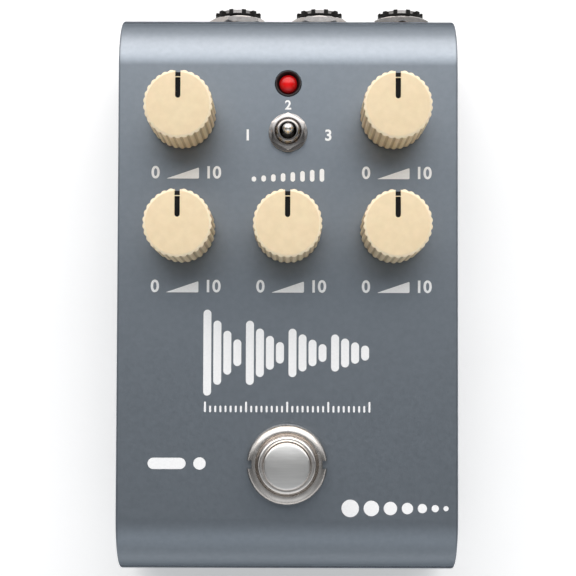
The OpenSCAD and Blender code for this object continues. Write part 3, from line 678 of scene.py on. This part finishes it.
def knob_mesh():
    """Fluted knob about the origin's axis, with its pointer slot and the groove down its side."""
    bm = bmesh.new()
    turns = around(FLUTES * FLUTE_STEPS)
    lip = KNOB_R - BEVEL_W

    def rim(t):
        return KNOB_R - FLUTE_DEPTH * (0.5 + 0.5 * math.cos(FLUTES * t)) ** FLUTE_POWER

    def crown(r):
        return KNOB_TOP - BEVEL_H * (r - KNOB_R + BEVEL_W) / BEVEL_W

    def level(radius, height):
        """Ring whose radius may depend on the angle, and its height on the radius."""
        out = []
        for t in turns:
            r = radius(t) if callable(radius) else radius
            z = height(r) if callable(height) else height
            out.append(bm.verts.new((r * math.cos(t), r * math.sin(t), z)))
        return out

    rings = [
        [bm.verts.new((0, 0, KNOB_Z + HOLLOW_DEEP))],
        level(HOLLOW_R, KNOB_Z + HOLLOW_DEEP),
        level(HOLLOW_R, KNOB_Z + HOLLOW_LEAD),
        level(HOLLOW_MOUTH_R, KNOB_Z),
        level(lambda t: rim(t) - SKIRT_CUT, KNOB_Z),
        level(rim, KNOB_Z + SKIRT_CUT),
        level(rim, lambda r: crown(r) - RIM_DROP),
        level(lambda t: rim(t) - RIM_IN, lambda r: crown(r) - RIM_IN_DROP),
        level(lip + LIP_EASE, KNOB_TOP - LIP_OUT_DROP),
        level(lip, KNOB_TOP - LIP_DROP),
        level(lip - LIP_EASE, KNOB_TOP),
        level(FACE_RING, KNOB_TOP),
        [bm.verts.new((0, 0, KNOB_TOP))],
    ]
    skin(bm, rings, closed=False)
    half = POINTER_W / 2
    slot = prism(pointer_outline(half), KNOB_TOP - SLOT_DEEP, KNOB_TOP + OVER)
    notch = block(-half, half, NOTCH_FROM, KNOB_R + OVER, KNOB_TOP - NOTCH_DEEP, KNOB_TOP + OVER)
    groove = block(-half, half, GROOVE_FROM, KNOB_R + OVER, KNOB_Z - OVER, KNOB_TOP + OVER)
    whole = carved(bm, joined(slot, notch, groove))
    whole.normal_update()
    for f in whole.faces:
        at = f.calc_center_median()
        far = at.xy.length
        near_top = at.z > KNOB_TOP - BEVEL_H - HIGHLIGHT_BELOW
        # Bevel faces take the lighter cream: a painted highlight
        if near_top and WALL_NORMAL < f.normal.z < LEVEL_NORMAL and far > lip - HIGHLIGHT_INSIDE:
            f.material_index = 1
        # Walls deep in the flutes take the darker cream: painted shade
        elif abs(f.normal.z) < WALL_NORMAL and lip < far < KNOB_R - SHADE_GROOVE_SHARE * FLUTE_DEPTH:
            f.material_index = 2
    return whole


def pointer_mesh():
    """Black fill of the slot, and of the notch between the slot's lip and the side groove."""
    half = POINTER_W / 2 - FILL_GAP
    line = prism(pointer_outline(half), KNOB_TOP - SLOT_DEEP, KNOB_TOP - FILL_DROP)
    start, end = NOTCH_FROM + FILL_GAP, GROOVE_FROM - FILL_GAP
    profile = [
        (start, KNOB_TOP - NOTCH_DEEP), (end, KNOB_TOP - NOTCH_DEEP),
        (end, KNOB_TOP - FILL_END_DROP), (start, KNOB_TOP - FILL_DROP),
    ]
    return joined(line, moved(prism(profile, -half, half), STAND))


def make_knobs():
    form = knob_mesh()
    for p in KNOB_PLACES:
        body = DIAL + p
        here = shift(JOINT_AT[body].x, JOINT_AT[body].y, 0)
        piece("knob_" + p + "_cap", moved(form.copy(), here), [cream, cream_rim, cream_groove], body,
              ["knob_" + p], smooth=24)
        piece("pointer_" + p + "_line", moved(pointer_mesh(), here), [pointer_fill], body,
              ["pointer_" + p])
    form.free()


make_knobs()

# Lamp

LAMP_RING_R, LAMP_RING_RISE, LAMP_RING_ROUND = 2.5, 0.2, 0.07
LAMP_FLANGE_R, LAMP_FLANGE_T = 3.2, 1
LAMP_BORE, LAMP_MOUTH_R, LAMP_MOUTH_DEEP = 1.8, 2.3, 1.3
LENS_R, LENS_RISE, LENS_FOOT = 1.75, 0.3, 1.2
LENS_CURVE, LENS_POLE, LENS_STEPS = 2.3, 88, 14


def make_lamp():
    """Black ring with a funnel mouth, and the domed lens in it."""
    here = shift(LAMP.x, LAMP.y, 0)
    foot = UNDER - LAMP_FLANGE_T
    ring_top = PANEL + LAMP_RING_RISE
    funnel = eased([
        (LAMP_BORE, foot), (LAMP_FLANGE_R, foot), (LAMP_FLANGE_R, UNDER), (LAMP_RING_R, UNDER),
        (LAMP_RING_R, ring_top), (LAMP_MOUTH_R, ring_top), (LAMP_BORE, PANEL - LAMP_MOUTH_DEEP),
    ], LAMP_RING_ROUND)
    piece("lamp_ring", moved(turned(funnel), here), [black_plastic],
          nodes=["lamp_bezel"])
    top = PANEL + LENS_RISE
    edge = math.degrees(math.acos(LENS_R / LENS_CURVE))
    dome = arc(0, top - LENS_CURVE, LENS_CURVE, edge, LENS_POLE, LENS_STEPS)
    lens = [(0.0, UNDER - LENS_FOOT), (LENS_R, UNDER - LENS_FOOT)] + dome + [(0.0, top)]
    piece("lamp_dome", moved(turned(lens, sides=64), here), [red_lens],
          nodes=["lamp_lens"])


make_lamp()

# Toggle switch

TOGGLE_BUSH, TOGGLE_BORE = 2.3, 1.6
TOGGLE_RISE, TOGGLE_SEAT = 2.8, 28.0
TOGGLE_FOOT_CUT, TOGGLE_FIT, TOGGLE_BORE_EDGE = 0.3, 0.31, 0.02
TOGGLE_PITCH, TOGGLE_RIDGE, TOGGLE_THREAD_END = 0.5, 0.16, 0.5
TOGGLE_LIP, TOGGLE_LIP_IN, TOGGLE_LEAD_W, TOGGLE_LEAD_H = 0.4, 0.42, 0.12, 0.15
TOGGLE_CASE_X, TOGGLE_CASE_Y = 6.35, 3.5
TOGGLE_ROOM = 0.05
TOGGLE_WASHER_R, TOGGLE_WASHER_T, WASHER_ROUND = 3.8, 0.4, 0.12
TOGGLE_NUT = {"flats": 6.4, "thick": 1.5, "inside": 0.35, "lean": 75, "lead": 0.3}
NECK_R, BALL_R, TIP_R, TIP_TURN = 0.65, 1.5, 1.05, (-4, 84)
LEVER_RISE, LEVER_TAIL, BALL_GAP = 5.6, 3.6, 0.01
NECK_RISE, FLARE_R, FLARE_RISE, HEAD_R, HEAD_DROP = 0.35, 0.76, 0.8, 0.96, 0.45


def make_toggle():
    """Case with its threaded bushing, washer, nut, and the lever on its ball."""
    here = shift(TOGGLE.x, TOGGLE.y, 0)
    top = PANEL + TOGGLE_RISE
    tube = turned(
        [(TOGGLE_BORE, TOGGLE_SEAT), (TOGGLE_BUSH - TOGGLE_FOOT_CUT, TOGGLE_SEAT)]
        + thread(TOGGLE_BUSH, UNDER, top - TOGGLE_THREAD_END, TOGGLE_PITCH, TOGGLE_RIDGE)
        + arc(TOGGLE_BUSH - TOGGLE_LIP_IN, top - TOGGLE_LIP, TOGGLE_LIP, 0, 90, 5)
        + [(TOGGLE_BORE + TOGGLE_LEAD_W, top), (TOGGLE_BORE, top - TOGGLE_LEAD_H)],
        sides=64,
    )
    # The bushing's bore walls take black plastic: painted shade inside the metal bushing
    for f in tube.faces:
        bore_painted_shade = f.calc_center_median().xy.length < TOGGLE_BORE + TOGGLE_BORE_EDGE
        f.material_index = 1 if bore_painted_shade else 0
    case = block(-TOGGLE_CASE_X, TOGGLE_CASE_X, -TOGGLE_CASE_Y, TOGGLE_CASE_Y,
                 span("toggle_body")[0].z, UNDER)
    fit = TOGGLE_BUSH - TOGGLE_FIT
    bore = turned([(0, TOGGLE_SEAT), (fit, TOGGLE_SEAT), (fit, PANEL), (0, PANEL)], sides=48)
    piece("toggle_case", moved(joined(carved(case, bore), tube), here), [dark_nickel, black_plastic],
          nodes=["toggle_body"])

    hole = TOGGLE_BUSH + TOGGLE_ROOM
    washer = eased([
        (hole, 0), (TOGGLE_WASHER_R, 0), (TOGGLE_WASHER_R, TOGGLE_WASHER_T), (hole, TOGGLE_WASHER_T),
    ], WASHER_ROUND, steps=3)
    piece("toggle_ring", moved(turned(washer), shift(TOGGLE.x, TOGGLE.y, PANEL)), [dark_nickel],
          nodes=["toggle_washer"])
    seat = shift(TOGGLE.x, TOGGLE.y, PANEL + TOGGLE_WASHER_T)
    piece("toggle_hex", moved(hex_nut(bore=hole, **TOGGLE_NUT), spin(90, "Z"), seat), [dark_nickel],
          nodes=["toggle_nut"])

    lever_top = PANEL + LEVER_RISE
    tip_z = lever_top - TIP_R
    ball_turn = math.degrees(math.acos(NECK_R / BALL_R))
    ball_half = math.sqrt(BALL_R ** 2 - NECK_R ** 2)
    tail = TOGGLE.z - LEVER_TAIL
    lever = (
        [(0.0, tail), (NECK_R, tail), (NECK_R, TOGGLE.z - ball_half - BALL_GAP)]
        + arc(0, TOGGLE.z, BALL_R, -ball_turn, ball_turn, 12)
        + [(NECK_R, TOGGLE.z + ball_half + BALL_GAP), (NECK_R, top + NECK_RISE)]
        + [(FLARE_R, top + FLARE_RISE), (HEAD_R, tip_z - HEAD_DROP)]
        + arc(0, tip_z, TIP_R, *TIP_TURN, 12)
        + [(0.0, lever_top)]
    )
    piece("toggle_bat", moved(turned(lever, sides=48), here), [chrome], "toggle", ["toggle_lever"],
          smooth=40)


make_toggle()

# Footswitch

SWITCH_RISE, SWITCH_BORE, SWITCH_BUSH = 5.5, 4.5, 5.55
SWITCH_FOOT_R, SWITCH_FOOT_DROP = 5.1, 0.5
SWITCH_PITCH, SWITCH_RIDGE, SWITCH_THREAD_END = 0.6, 0.2, 0.7
SWITCH_LIP_R, SWITCH_LIP_W, SWITCH_LIP_H = 5.05, 0.5, 0.6
SWITCH_MOUTH = ((4.75, 0.0), (4.6, 0.06), (SWITCH_BORE, 0.2))  # radius and drop from the top
SWITCH_CASE, SWITCH_FLOOR = 7.2, 0.6
SPRING_HOLE = 3.05
COLLAR_R, COLLAR_T, COLLAR_ROOM, STOP_DROP = 5.8, 1.2, 5.85, 2.6
ROOF_DROP, ROOF_R = 1, 5.0
DRESS_BORE = 5.6
SWITCH_WASHER_R, SWITCH_WASHER_T, SWITCH_WASHER_ROUND = 6.5, 0.5, 0.15
DRESS_R, DRESS_TOP_R, DRESS_T, DRESS_ROUND, DRESS_FOOT = 7.8, 6.2, 3.2, 1.3, 0.15
DRESS_LEAD_R, DRESS_LEAD = 6.15, 0.4
KEY_FROM, KEY_TO, KEY_HALF, KEY_TALL = 6.8, 9, 0.8, 5
BUTTON_R, BUTTON_NECK, FACE_R, FACE_STEPS, CROWN = 4.4, 1, 4.2, 10, 0.34
BUTTON_ROOF, BUTTON_SLOPE, BUTTON_EDGE, BUTTON_LEDGE = 36.7, 0.15, 0.4, 0.8
BUTTON_ROUND, BUTTON_LEVEL = 0.07, 0.95
SPRING_R, SPRING_WIRE, SPRING_TURNS, SPRING_SPARE = 2.4, 0.3, 6, 0.02


def switch_case_mesh():
    """Case with the spring's well and the collar's room in it, under the threaded bushing."""
    board_top = span("switch_body")[0].z
    stop = span("switch_button")[0].z - STOP_DROP
    top = PANEL + SWITCH_RISE
    foot = UNDER - SWITCH_FOOT_DROP
    bush = (
        [(SWITCH_BORE, foot), (SWITCH_FOOT_R, foot)]
        + thread(SWITCH_BUSH, UNDER, top - SWITCH_THREAD_END, SWITCH_PITCH, SWITCH_RIDGE)
        + arc(SWITCH_LIP_R, top - SWITCH_LIP_H, SWITCH_LIP_W, 0, 90, 9, tall=SWITCH_LIP_H)
        + [(r, top - drop) for r, drop in SWITCH_MOUTH]
    )
    case = block(-SWITCH_CASE, SWITCH_CASE, -SWITCH_CASE, SWITCH_CASE, board_top, UNDER)
    well, roof = board_top + SWITCH_FLOOR, UNDER - ROOF_DROP
    hollow = turned([
        (0, well), (SPRING_HOLE, well), (SPRING_HOLE, stop), (COLLAR_ROOM, stop),
        (COLLAR_ROOM, roof), (ROOF_R, roof), (ROOF_R, PANEL), (0, PANEL),
    ], sides=64)
    return joined(carved(case, hollow), turned(bush))


def dress_nut_mesh():
    """Round nut with an arched shoulder and two notches for a key."""
    low = PANEL + SWITCH_WASHER_T
    top = low + DRESS_T
    profile = (
        [(DRESS_BORE, low), (DRESS_R - DRESS_FOOT, low), (DRESS_R, low + DRESS_FOOT)]
        + arc(DRESS_TOP_R, top - DRESS_ROUND, DRESS_R - DRESS_TOP_R, 0, 90, 12, tall=DRESS_ROUND)
        + [(DRESS_LEAD_R, top), (DRESS_BORE, top - DRESS_LEAD)]
    )
    notches = joined(
        block(-KEY_TO, -KEY_FROM, -KEY_HALF, KEY_HALF, low - OVER, low + KEY_TALL),
        block(KEY_FROM, KEY_TO, -KEY_HALF, KEY_HALF, low - OVER, low + KEY_TALL),
    )
    return carved(turned(profile, sides=128), notches)


def plunger_mesh():
    """Button with a slightly crowned face, over a hollow for the spring and a collar that stops it."""
    low, high = span("switch_button")
    collar = low.z + COLLAR_T
    shoulder = high.z - CROWN
    edge = [
        (BUTTON_R, collar + BUTTON_NECK), (BUTTON_R, shoulder - BUTTON_SLOPE), (FACE_R, shoulder),
        (FACE_R - BUTTON_EDGE, high.z - BUTTON_LEDGE * CROWN),
    ]
    shares = [k / FACE_STEPS for k in range(FACE_STEPS - 2, -1, -1)]
    profile = (
        [(0.0, BUTTON_ROOF), (SPRING_HOLE, BUTTON_ROOF), (SPRING_HOLE, low.z)]
        + [(COLLAR_R, low.z), (COLLAR_R, collar), (BUTTON_R, collar)]
        + eased(edge, BUTTON_ROUND, steps=3, closed=False)
        + [(FACE_R * s, high.z - CROWN * s ** 2) for s in shares]
    )
    bm = turned(profile, sides=128)
    bm.normal_update()
    bmesh.ops.recalc_face_normals(bm, faces=bm.faces)
    for f in bm.faces:
        on_face = f.normal.z > BUTTON_LEVEL and f.calc_center_median().z > shoulder
        f.material_index = 1 if on_face else 0
    return bm


def make_footswitch():
    here = shift(SWITCH.x, SWITCH.y, 0)
    piece("switch_case", moved(switch_case_mesh(), here), [chrome], nodes=["switch_body"])
    washer = eased([
        (DRESS_BORE, 0), (SWITCH_WASHER_R, 0), (SWITCH_WASHER_R, SWITCH_WASHER_T),
        (DRESS_BORE, SWITCH_WASHER_T),
    ], SWITCH_WASHER_ROUND, steps=3)
    piece("switch_ring", moved(turned(washer, sides=128), shift(SWITCH.x, SWITCH.y, PANEL)), [chrome],
          nodes=["switch_washer"])
    piece("switch_collar", moved(dress_nut_mesh(), here), [satin_chrome],
          nodes=["switch_nut"])
    piece("switch_plunger", moved(plunger_mesh(), here), [chrome, brushed], "footswitch",
          ["switch_button"])
    low, high = span("switch_spring")
    coil = coil_mesh(SPRING_R, SPRING_WIRE, low.z, high.z, SPRING_TURNS)
    spring = piece("switch_coil", moved(coil, here), [steel], nodes=["switch_spring"])
    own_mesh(spring)


make_footswitch()

# Rear sockets

JACK_BORE, JACK_BORE_LONG = 3.25, 28
JACK_BUSH, JACK_FOOT_R, JACK_FOOT_DROP = 4.7, 4.5, 1
JACK_PITCH, JACK_RIDGE, JACK_THREAD_END = 0.8, 0.22, 1.2
JACK_CROWN_H, JACK_MOUTH_R, JACK_MOUTH_DEEP, JACK_ROUND = 1.15, 3.45, 0.3, 0.18
CROWN_NOTCHES, CROWN_NOTCH_HALF, CROWN_NOTCH_DEEP, CROWN_NOTCH_TO = 11, 0.9, 0.85, 6
SLEEVE_R, SLEEVE_EDGE, SLEEVE_DEEP = 3.85, 0.1, 0.9
JACK_RING_BORE, JACK_WASHER_R, JACK_WASHER_T = 4.75, 6.0, 0.4
JACK_NUT = {"flats": 11.0, "bore": JACK_RING_BORE, "thick": 1.7, "inside": 0.2}
JACK_NUT_SPINS = (12, 0, 30)


def jack_mesh(mouth, inner_end, half_w, half_h):
    """Jack about its bore's axis: Z runs out of the rear wall, and z = 0 is the wall's outer face."""
    foot = -WALL - JACK_FOOT_DROP
    end = [
        (JACK_BUSH, mouth - JACK_CROWN_H), (JACK_BUSH, mouth),
        (JACK_MOUTH_R, mouth), (JACK_BORE, mouth - JACK_MOUTH_DEEP),
    ]
    bush = (
        [(JACK_BORE, foot), (JACK_FOOT_R, foot)]
        + thread(JACK_BUSH, -WALL, mouth - JACK_THREAD_END, JACK_PITCH, JACK_RIDGE)
        + eased(end, JACK_ROUND, steps=3, closed=False)
    )
    notches = []
    for i in range(CROWN_NOTCHES):
        notch = block(-CROWN_NOTCH_HALF, CROWN_NOTCH_HALF, SLEEVE_R, CROWN_NOTCH_TO,
                      mouth - CROWN_NOTCH_DEEP, mouth + OVER)
        notches.append(moved(notch, Matrix.Rotation(2 * math.pi * (i + 0.5) / CROWN_NOTCHES, 4, "Z")))
    crown = carved(turned(bush), joined(*notches))
    crown.normal_update()
    for f in crown.faces:
        at = f.calc_center_median()
        upright = at.z > mouth - SLEEVE_DEEP and abs(f.normal.z) < WALL_NORMAL
        f.material_index = 1 if upright and at.xy.length < SLEEVE_R + SLEEVE_EDGE else 0
    case = block(-half_w, half_w, -half_h, half_h, inner_end, -WALL)
    deep = mouth - JACK_BORE_LONG
    bore = turned([(0, deep), (JACK_BORE, deep), (JACK_BORE, DRILL), (0, DRILL)], sides=64)
    return joined(carved(case, bore), crown)


def make_sockets():
    washer = eased([
        (JACK_RING_BORE, 0), (JACK_WASHER_R, 0), (JACK_WASHER_R, JACK_WASHER_T),
        (JACK_RING_BORE, JACK_WASHER_T),
    ], WASHER_ROUND, steps=3)
    washers, nuts = [], []
    for s, nut_spin in zip(JACK_SIDES, JACK_NUT_SPINS):
        low, high = span("jack_" + s)
        at = MOUNT_AT["jack_bore_" + s]
        put = shift(at.x, REAR, at.z) @ spin(-90, "X")
        jack = jack_mesh(high.y - REAR, low.y - REAR, (high.x - low.x) / 2, (high.z - low.z) / 2)
        piece("socket_" + s, moved(jack, put), [socket_black, dark_nickel],
              nodes=["jack_" + s])
        washers.append(moved(turned(washer), put))
        nut = moved(hex_nut(**JACK_NUT), spin(nut_spin, "Z"), shift(0, 0, JACK_WASHER_T), put)
        nuts.append(nut)
    piece("socket_washers", joined(*washers), [dark_nickel], nodes=["jack_washers"])
    piece("socket_nuts", joined(*nuts), [dark_nickel], nodes=["jack_nuts"])


make_sockets()

# Generic print on the panel: scales, numbers and an echo of bars

INK, INK_SINK = 0.03, 0.01
NUMBER_BOLD = 0.026
SCALE_DROP, SCALE_NUMBER, SCALE_LOW_X, SCALE_HIGH_X = 11.1, 3.3, -5.3, 5.9
WEDGE_X, WEDGE_Y, WEDGE_ROUND = 3.2, 1.1, 0.25
# Name, digit, place beside the toggle's axis and size
TOGGLE_NUMBERS = (
    ("toggle_one", "1", -7.9, -0.6, 3.0),
    ("toggle_two", "2", 0, 5.35, 2.5),
    ("toggle_three", "3", 7.9, -0.6, 3.0),
)
STEPS, STEP_PITCH, STEP_WIDE = 8, 1.9, 0.9
STEP_FOOT, STEP_HEAD, STEP_GROWTH = 9.2, 9.1, 0.22
BARS_X, BARS_Y, BAR_PITCH, BAR_WIDE, BAR_TALL = -15.6, -14.0, 1.95, 1.55, 15.2
BAR_SHARES = (1, 0.72, 0.46, 0.24)
BAR_GROUPS, GROUP_PITCH, GROUP_FADE = 4, 8.3, 0.72
TICKS_X, TICKS_Y, TICKS, TICK_WIDE = -16, -25.4, 33, 0.38
TICK_TALL, LONG_TICK, LONG_EVERY = 0.9, 1.7, 8
PRESS_FROM, PRESS_TO, PRESS_WIDE, PRESS_DOT_X, PRESS_DOT_R = -26.0, -20.8, 2.2, -17.0, 1.2
DOTS_X, DOTS_DROP, DOT_GAP = 10.6, 8.6, 0.9
DOT_SIZES = (3.4, 3.0, 2.6, 2.2, 1.8, 1.4, 1.0)


def ink_piece(name, outlines):
    """Thin sheets of ink on the panel."""
    sheets = [prism(o, PANEL - INK_SINK, PANEL + INK) for o in outlines]
    piece(name, joined(*sheets), [ink])


def number(name, text, x, y, size):
    """Flat digits on the panel, centred on x and y."""
    digits = bpy.data.curves.new(name, "FONT")
    digits.body = text
    digits.size = size * MM
    digits.align_x = "CENTER"
    digits.align_y = "CENTER"
    digits.offset = NUMBER_BOLD * size * MM
    digits.extrude = INK / 2 * MM
    digits.materials.append(ink)
    obj = bpy.data.objects.new(name, digits)
    obj.location = (x * MM, y * MM, (PANEL + INK / 2) * MM)
    bpy.context.scene.collection.objects.link(obj)
    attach(obj, "enclosure")


def print_panel():
    for p in KNOB_PLACES:
        x, y = JOINT_AT[DIAL + p].x, JOINT_AT[DIAL + p].y - SCALE_DROP
        wedge = [(x - WEDGE_X, y - WEDGE_Y), (x + WEDGE_X, y - WEDGE_Y), (x + WEDGE_X, y + WEDGE_Y)]
        ink_piece("scale_" + p, [eased(wedge, WEDGE_ROUND, steps=3)])
        number("low_" + p, "0", x + SCALE_LOW_X, y, SCALE_NUMBER)
        number("high_" + p, "10", x + SCALE_HIGH_X, y, SCALE_NUMBER)
    for name, digit, x, y, size in TOGGLE_NUMBERS:
        number(name, digit, TOGGLE.x + x, TOGGLE.y + y, size)

    steps = []
    for k in range(STEPS):
        x = TOGGLE.x + STEP_PITCH * (k - (STEPS - 1) / 2)
        steps.append(capsule(x, TOGGLE.y - STEP_FOOT, x, TOGGLE.y - STEP_HEAD + STEP_GROWTH * k, STEP_WIDE))
    ink_piece("level_steps", steps)

    bars = []
    for group in range(BAR_GROUPS):
        for k, share in enumerate(BAR_SHARES):
            x = BARS_X + group * GROUP_PITCH + k * BAR_PITCH
            tall = BAR_TALL * GROUP_FADE ** group * share
            bars.append(capsule(x, BARS_Y - tall / 2, x, BARS_Y + tall / 2, BAR_WIDE))
    ink_piece("echo_bars", bars)

    ticks = []
    for i in range(TICKS):
        tall = TICK_TALL if i % LONG_EVERY else LONG_TICK
        ticks.append(capsule(TICKS_X + i, TICKS_Y, TICKS_X + i, TICKS_Y + tall, TICK_WIDE))
    ink_piece("time_ticks", ticks)

    ink_piece("press_marks", [
        capsule(PRESS_FROM, SWITCH.y, PRESS_TO, SWITCH.y, PRESS_WIDE),
        disc(PRESS_DOT_X, SWITCH.y, PRESS_DOT_R),
    ])

    dots = []
    x = DOTS_X
    for size in DOT_SIZES:
        dots.append(disc(x + size / 2, SWITCH.y - DOTS_DROP, size / 2))
        x += size + DOT_GAP
    ink_piece("fading_dots", dots)


print_panel()

# Solids that stay as they are, with better materials

KEPT = {
    "base_screws": black_steel, "pot_washers": steel, "pot_nuts": steel, "lamp_leads": steel,
    "jack_contacts": brass, "power_inlet": black_plastic, "power_pin": brass,
    "control_board": mask_green, "jack_board": mask_green, "standoffs": brass, "board_screws": steel,
    "processor": chip, "small_chips": chip, "capacitors": can, "board_header": black_plastic,
}
KEPT.update({"shaft_" + p: steel for p in KNOB_PLACES})
KEPT.update({"pot_" + p: pot_metal for p in KNOB_PLACES})
for node, material in KEPT.items():
    slots = frame["nodes"][node].data.materials
    slots.clear()
    slots.append(material)

# Floor, light and camera

FLOOR_GLOW, FLOOR_HALF, FLOOR_T = 0.3, 8000, 10
# The softbox's angle over the floor in degrees; its distance, size and aim in metres
SOFTBOX_RISE, SOFTBOX_FAR, SOFTBOX_SIZE, SOFTBOX_AIM = 37, 0.9, (1.9, 0.76), (0, 0, 0.03)
SOFTBOX_POWER = 8.0
SOFTBOX_TINT = (1.08, 0.985, 0.915)
ROOM_TINT = (0.96, 1.0, 1.037)
# Brightness of the room against the direction's Y, from the front through the zenith to the rear
ROOM = (
    (-1.0, 0.42), (-0.96, 0.6), (-0.88, 0.85), (-0.7, 1.0), (-0.45, 0.58), (-0.2, 0.34), (-0.05, 0.23),
    (0.06, 0.18), (0.15, 0.24), (0.2, 0.48), (0.25, 1.15), (0.32, 2.05), (0.45, 2.4), (0.6, 1.65), (1.0, 1.2),
)
# The room is dimmer at its sides, between these two sizes of the direction's X
SIDE_BAND, SIDE_SHARE = (0.2, 0.6), 0.5
# The room's wall is pale up to a little above the horizon, between these two heights of the direction
HORIZON = (0.87, 0.875, 0.88)
HORIZON_BAND = (0.04, 0.12)
# Camera, fitted to the photograph
CAMERA_AT = (0.62, -19.41, 309.05)
CAMERA_TILT = 2.0
CAMERA_ROLL = 0.18
CAMERA_NEAR = 0.01
SENSOR = 36
FOCAL_PIXELS = 1424.6
SHIFT_PIXELS = (-2.6, 42.9)
FRAME_PIXELS = 576


def calculated(tree, operation, *values):
    """Result of a Math node on sockets or numbers."""
    node = tree.nodes.new("ShaderNodeMath")
    node.operation = operation
    for socket, value in zip(node.inputs, values):
        if isinstance(value, float):
            socket.default_value = value
        else:
            tree.links.new(value, socket)
    return node.outputs["Value"]


def make_floor():
    """Pale floor with a glow for the camera, reflections and glass, which lights nothing."""
    mat = surface(
        "pale_floor", (0.79, 0.79, 0.79), (0.81, 0.81, 0.81), (0.8, 0.9), grain=40, fine=400, lift=0.05,
        Emission_Color=(1, 1, 1, 1),
    )
    tree = mat.node_tree
    ray = tree.nodes.new("ShaderNodeLightPath")
    seen = calculated(tree, "MAXIMUM", ray.outputs["Is Camera Ray"], ray.outputs["Is Glossy Ray"])
    seen = calculated(tree, "MAXIMUM", seen, ray.outputs["Is Transmission Ray"])
    glow = calculated(tree, "MULTIPLY", seen, FLOOR_GLOW)
    tree.links.new(glow, tree.nodes["Principled BSDF"].inputs["Emission Strength"])
    slab = block(-FLOOR_HALF, FLOOR_HALF, -FLOOR_HALF, FLOOR_HALF, -FLOOR_T, 0)
    bmesh.ops.scale(slab, vec=(MM, MM, MM), verts=slab.verts)
    floor = loose_object(slab, "floor")
    floor.data.materials.append(mat)


def make_softbox():
    rise = math.radians(SOFTBOX_RISE)
    at = Vector((0, SOFTBOX_FAR * math.cos(rise), SOFTBOX_FAR * math.sin(rise)))
    light = bpy.data.lights.new("rear_softbox", "AREA")
    light.shape = "RECTANGLE"
    light.size, light.size_y = SOFTBOX_SIZE
    light.energy = SOFTBOX_POWER
    light.color = SOFTBOX_TINT
    obj = bpy.data.objects.new("rear_softbox", light)
    obj.location = at
    obj.rotation_euler = (Vector(SOFTBOX_AIM) - at).to_track_quat("-Z", "Y").to_euler()
    bpy.context.scene.collection.objects.link(obj)


def make_room():
    """Light from all round, graded from front to rear, dimmer at the sides and pale at the horizon."""
    world = bpy.data.worlds.new("studio")
    bpy.context.scene.world = world
    world.use_nodes = True
    tree = world.node_tree
    nodes, links = tree.nodes, tree.links
    way = nodes.new("ShaderNodeTexCoord")
    split = nodes.new("ShaderNodeSeparateXYZ")
    links.new(way.outputs["Generated"], split.inputs["Vector"])
    sky = nodes.new("ShaderNodeValToRGB")
    stops = sky.color_ramp.elements
    while len(stops) < len(ROOM):
        stops.new(1.0)
    for stop, (y, level) in zip(stops, ROOM):
        stop.position = (y + 1) / 2
        stop.color = (*(level * c for c in ROOM_TINT), 1)
    links.new(ranged(tree, split.outputs["Y"], (-1, 1)), sky.inputs["Fac"])
    links.new(sky.outputs["Color"], nodes["Background"].inputs["Color"])
    aside = calculated(tree, "ABSOLUTE", split.outputs["X"])
    share = ranged(tree, aside, SIDE_BAND, (1.0, SIDE_SHARE), smooth=True)
    links.new(share, nodes["Background"].inputs["Strength"])
    wall = nodes.new("ShaderNodeBackground")
    wall.inputs["Color"].default_value = (*HORIZON, 1)
    both = nodes.new("ShaderNodeMixShader")
    links.new(ranged(tree, split.outputs["Z"], HORIZON_BAND, smooth=True), both.inputs["Fac"])
    links.new(wall.outputs["Background"], both.inputs[1])
    links.new(nodes["Background"].outputs["Background"], both.inputs[2])
    links.new(both.outputs["Shader"], nodes["World Output"].inputs["Surface"])


def make_camera():
    optics = bpy.data.cameras.new("camera")
    optics.sensor_width = SENSOR
    optics.lens = FOCAL_PIXELS / FRAME_PIXELS * SENSOR
    optics.shift_x = SHIFT_PIXELS[0] / FRAME_PIXELS
    optics.shift_y = SHIFT_PIXELS[1] / FRAME_PIXELS
    optics.clip_start = CAMERA_NEAR
    camera = bpy.data.objects.new("camera", optics)
    place = Matrix.Translation(Vector(CAMERA_AT) * MM)
    camera.matrix_world = place @ spin(CAMERA_TILT, "X") @ spin(CAMERA_ROLL, "Z")
    bpy.context.scene.collection.objects.link(camera)
    bpy.context.scene.camera = camera


make_floor()
make_softbox()
make_room()
make_camera()
bpy.context.scene.view_settings.view_transform = "Standard"
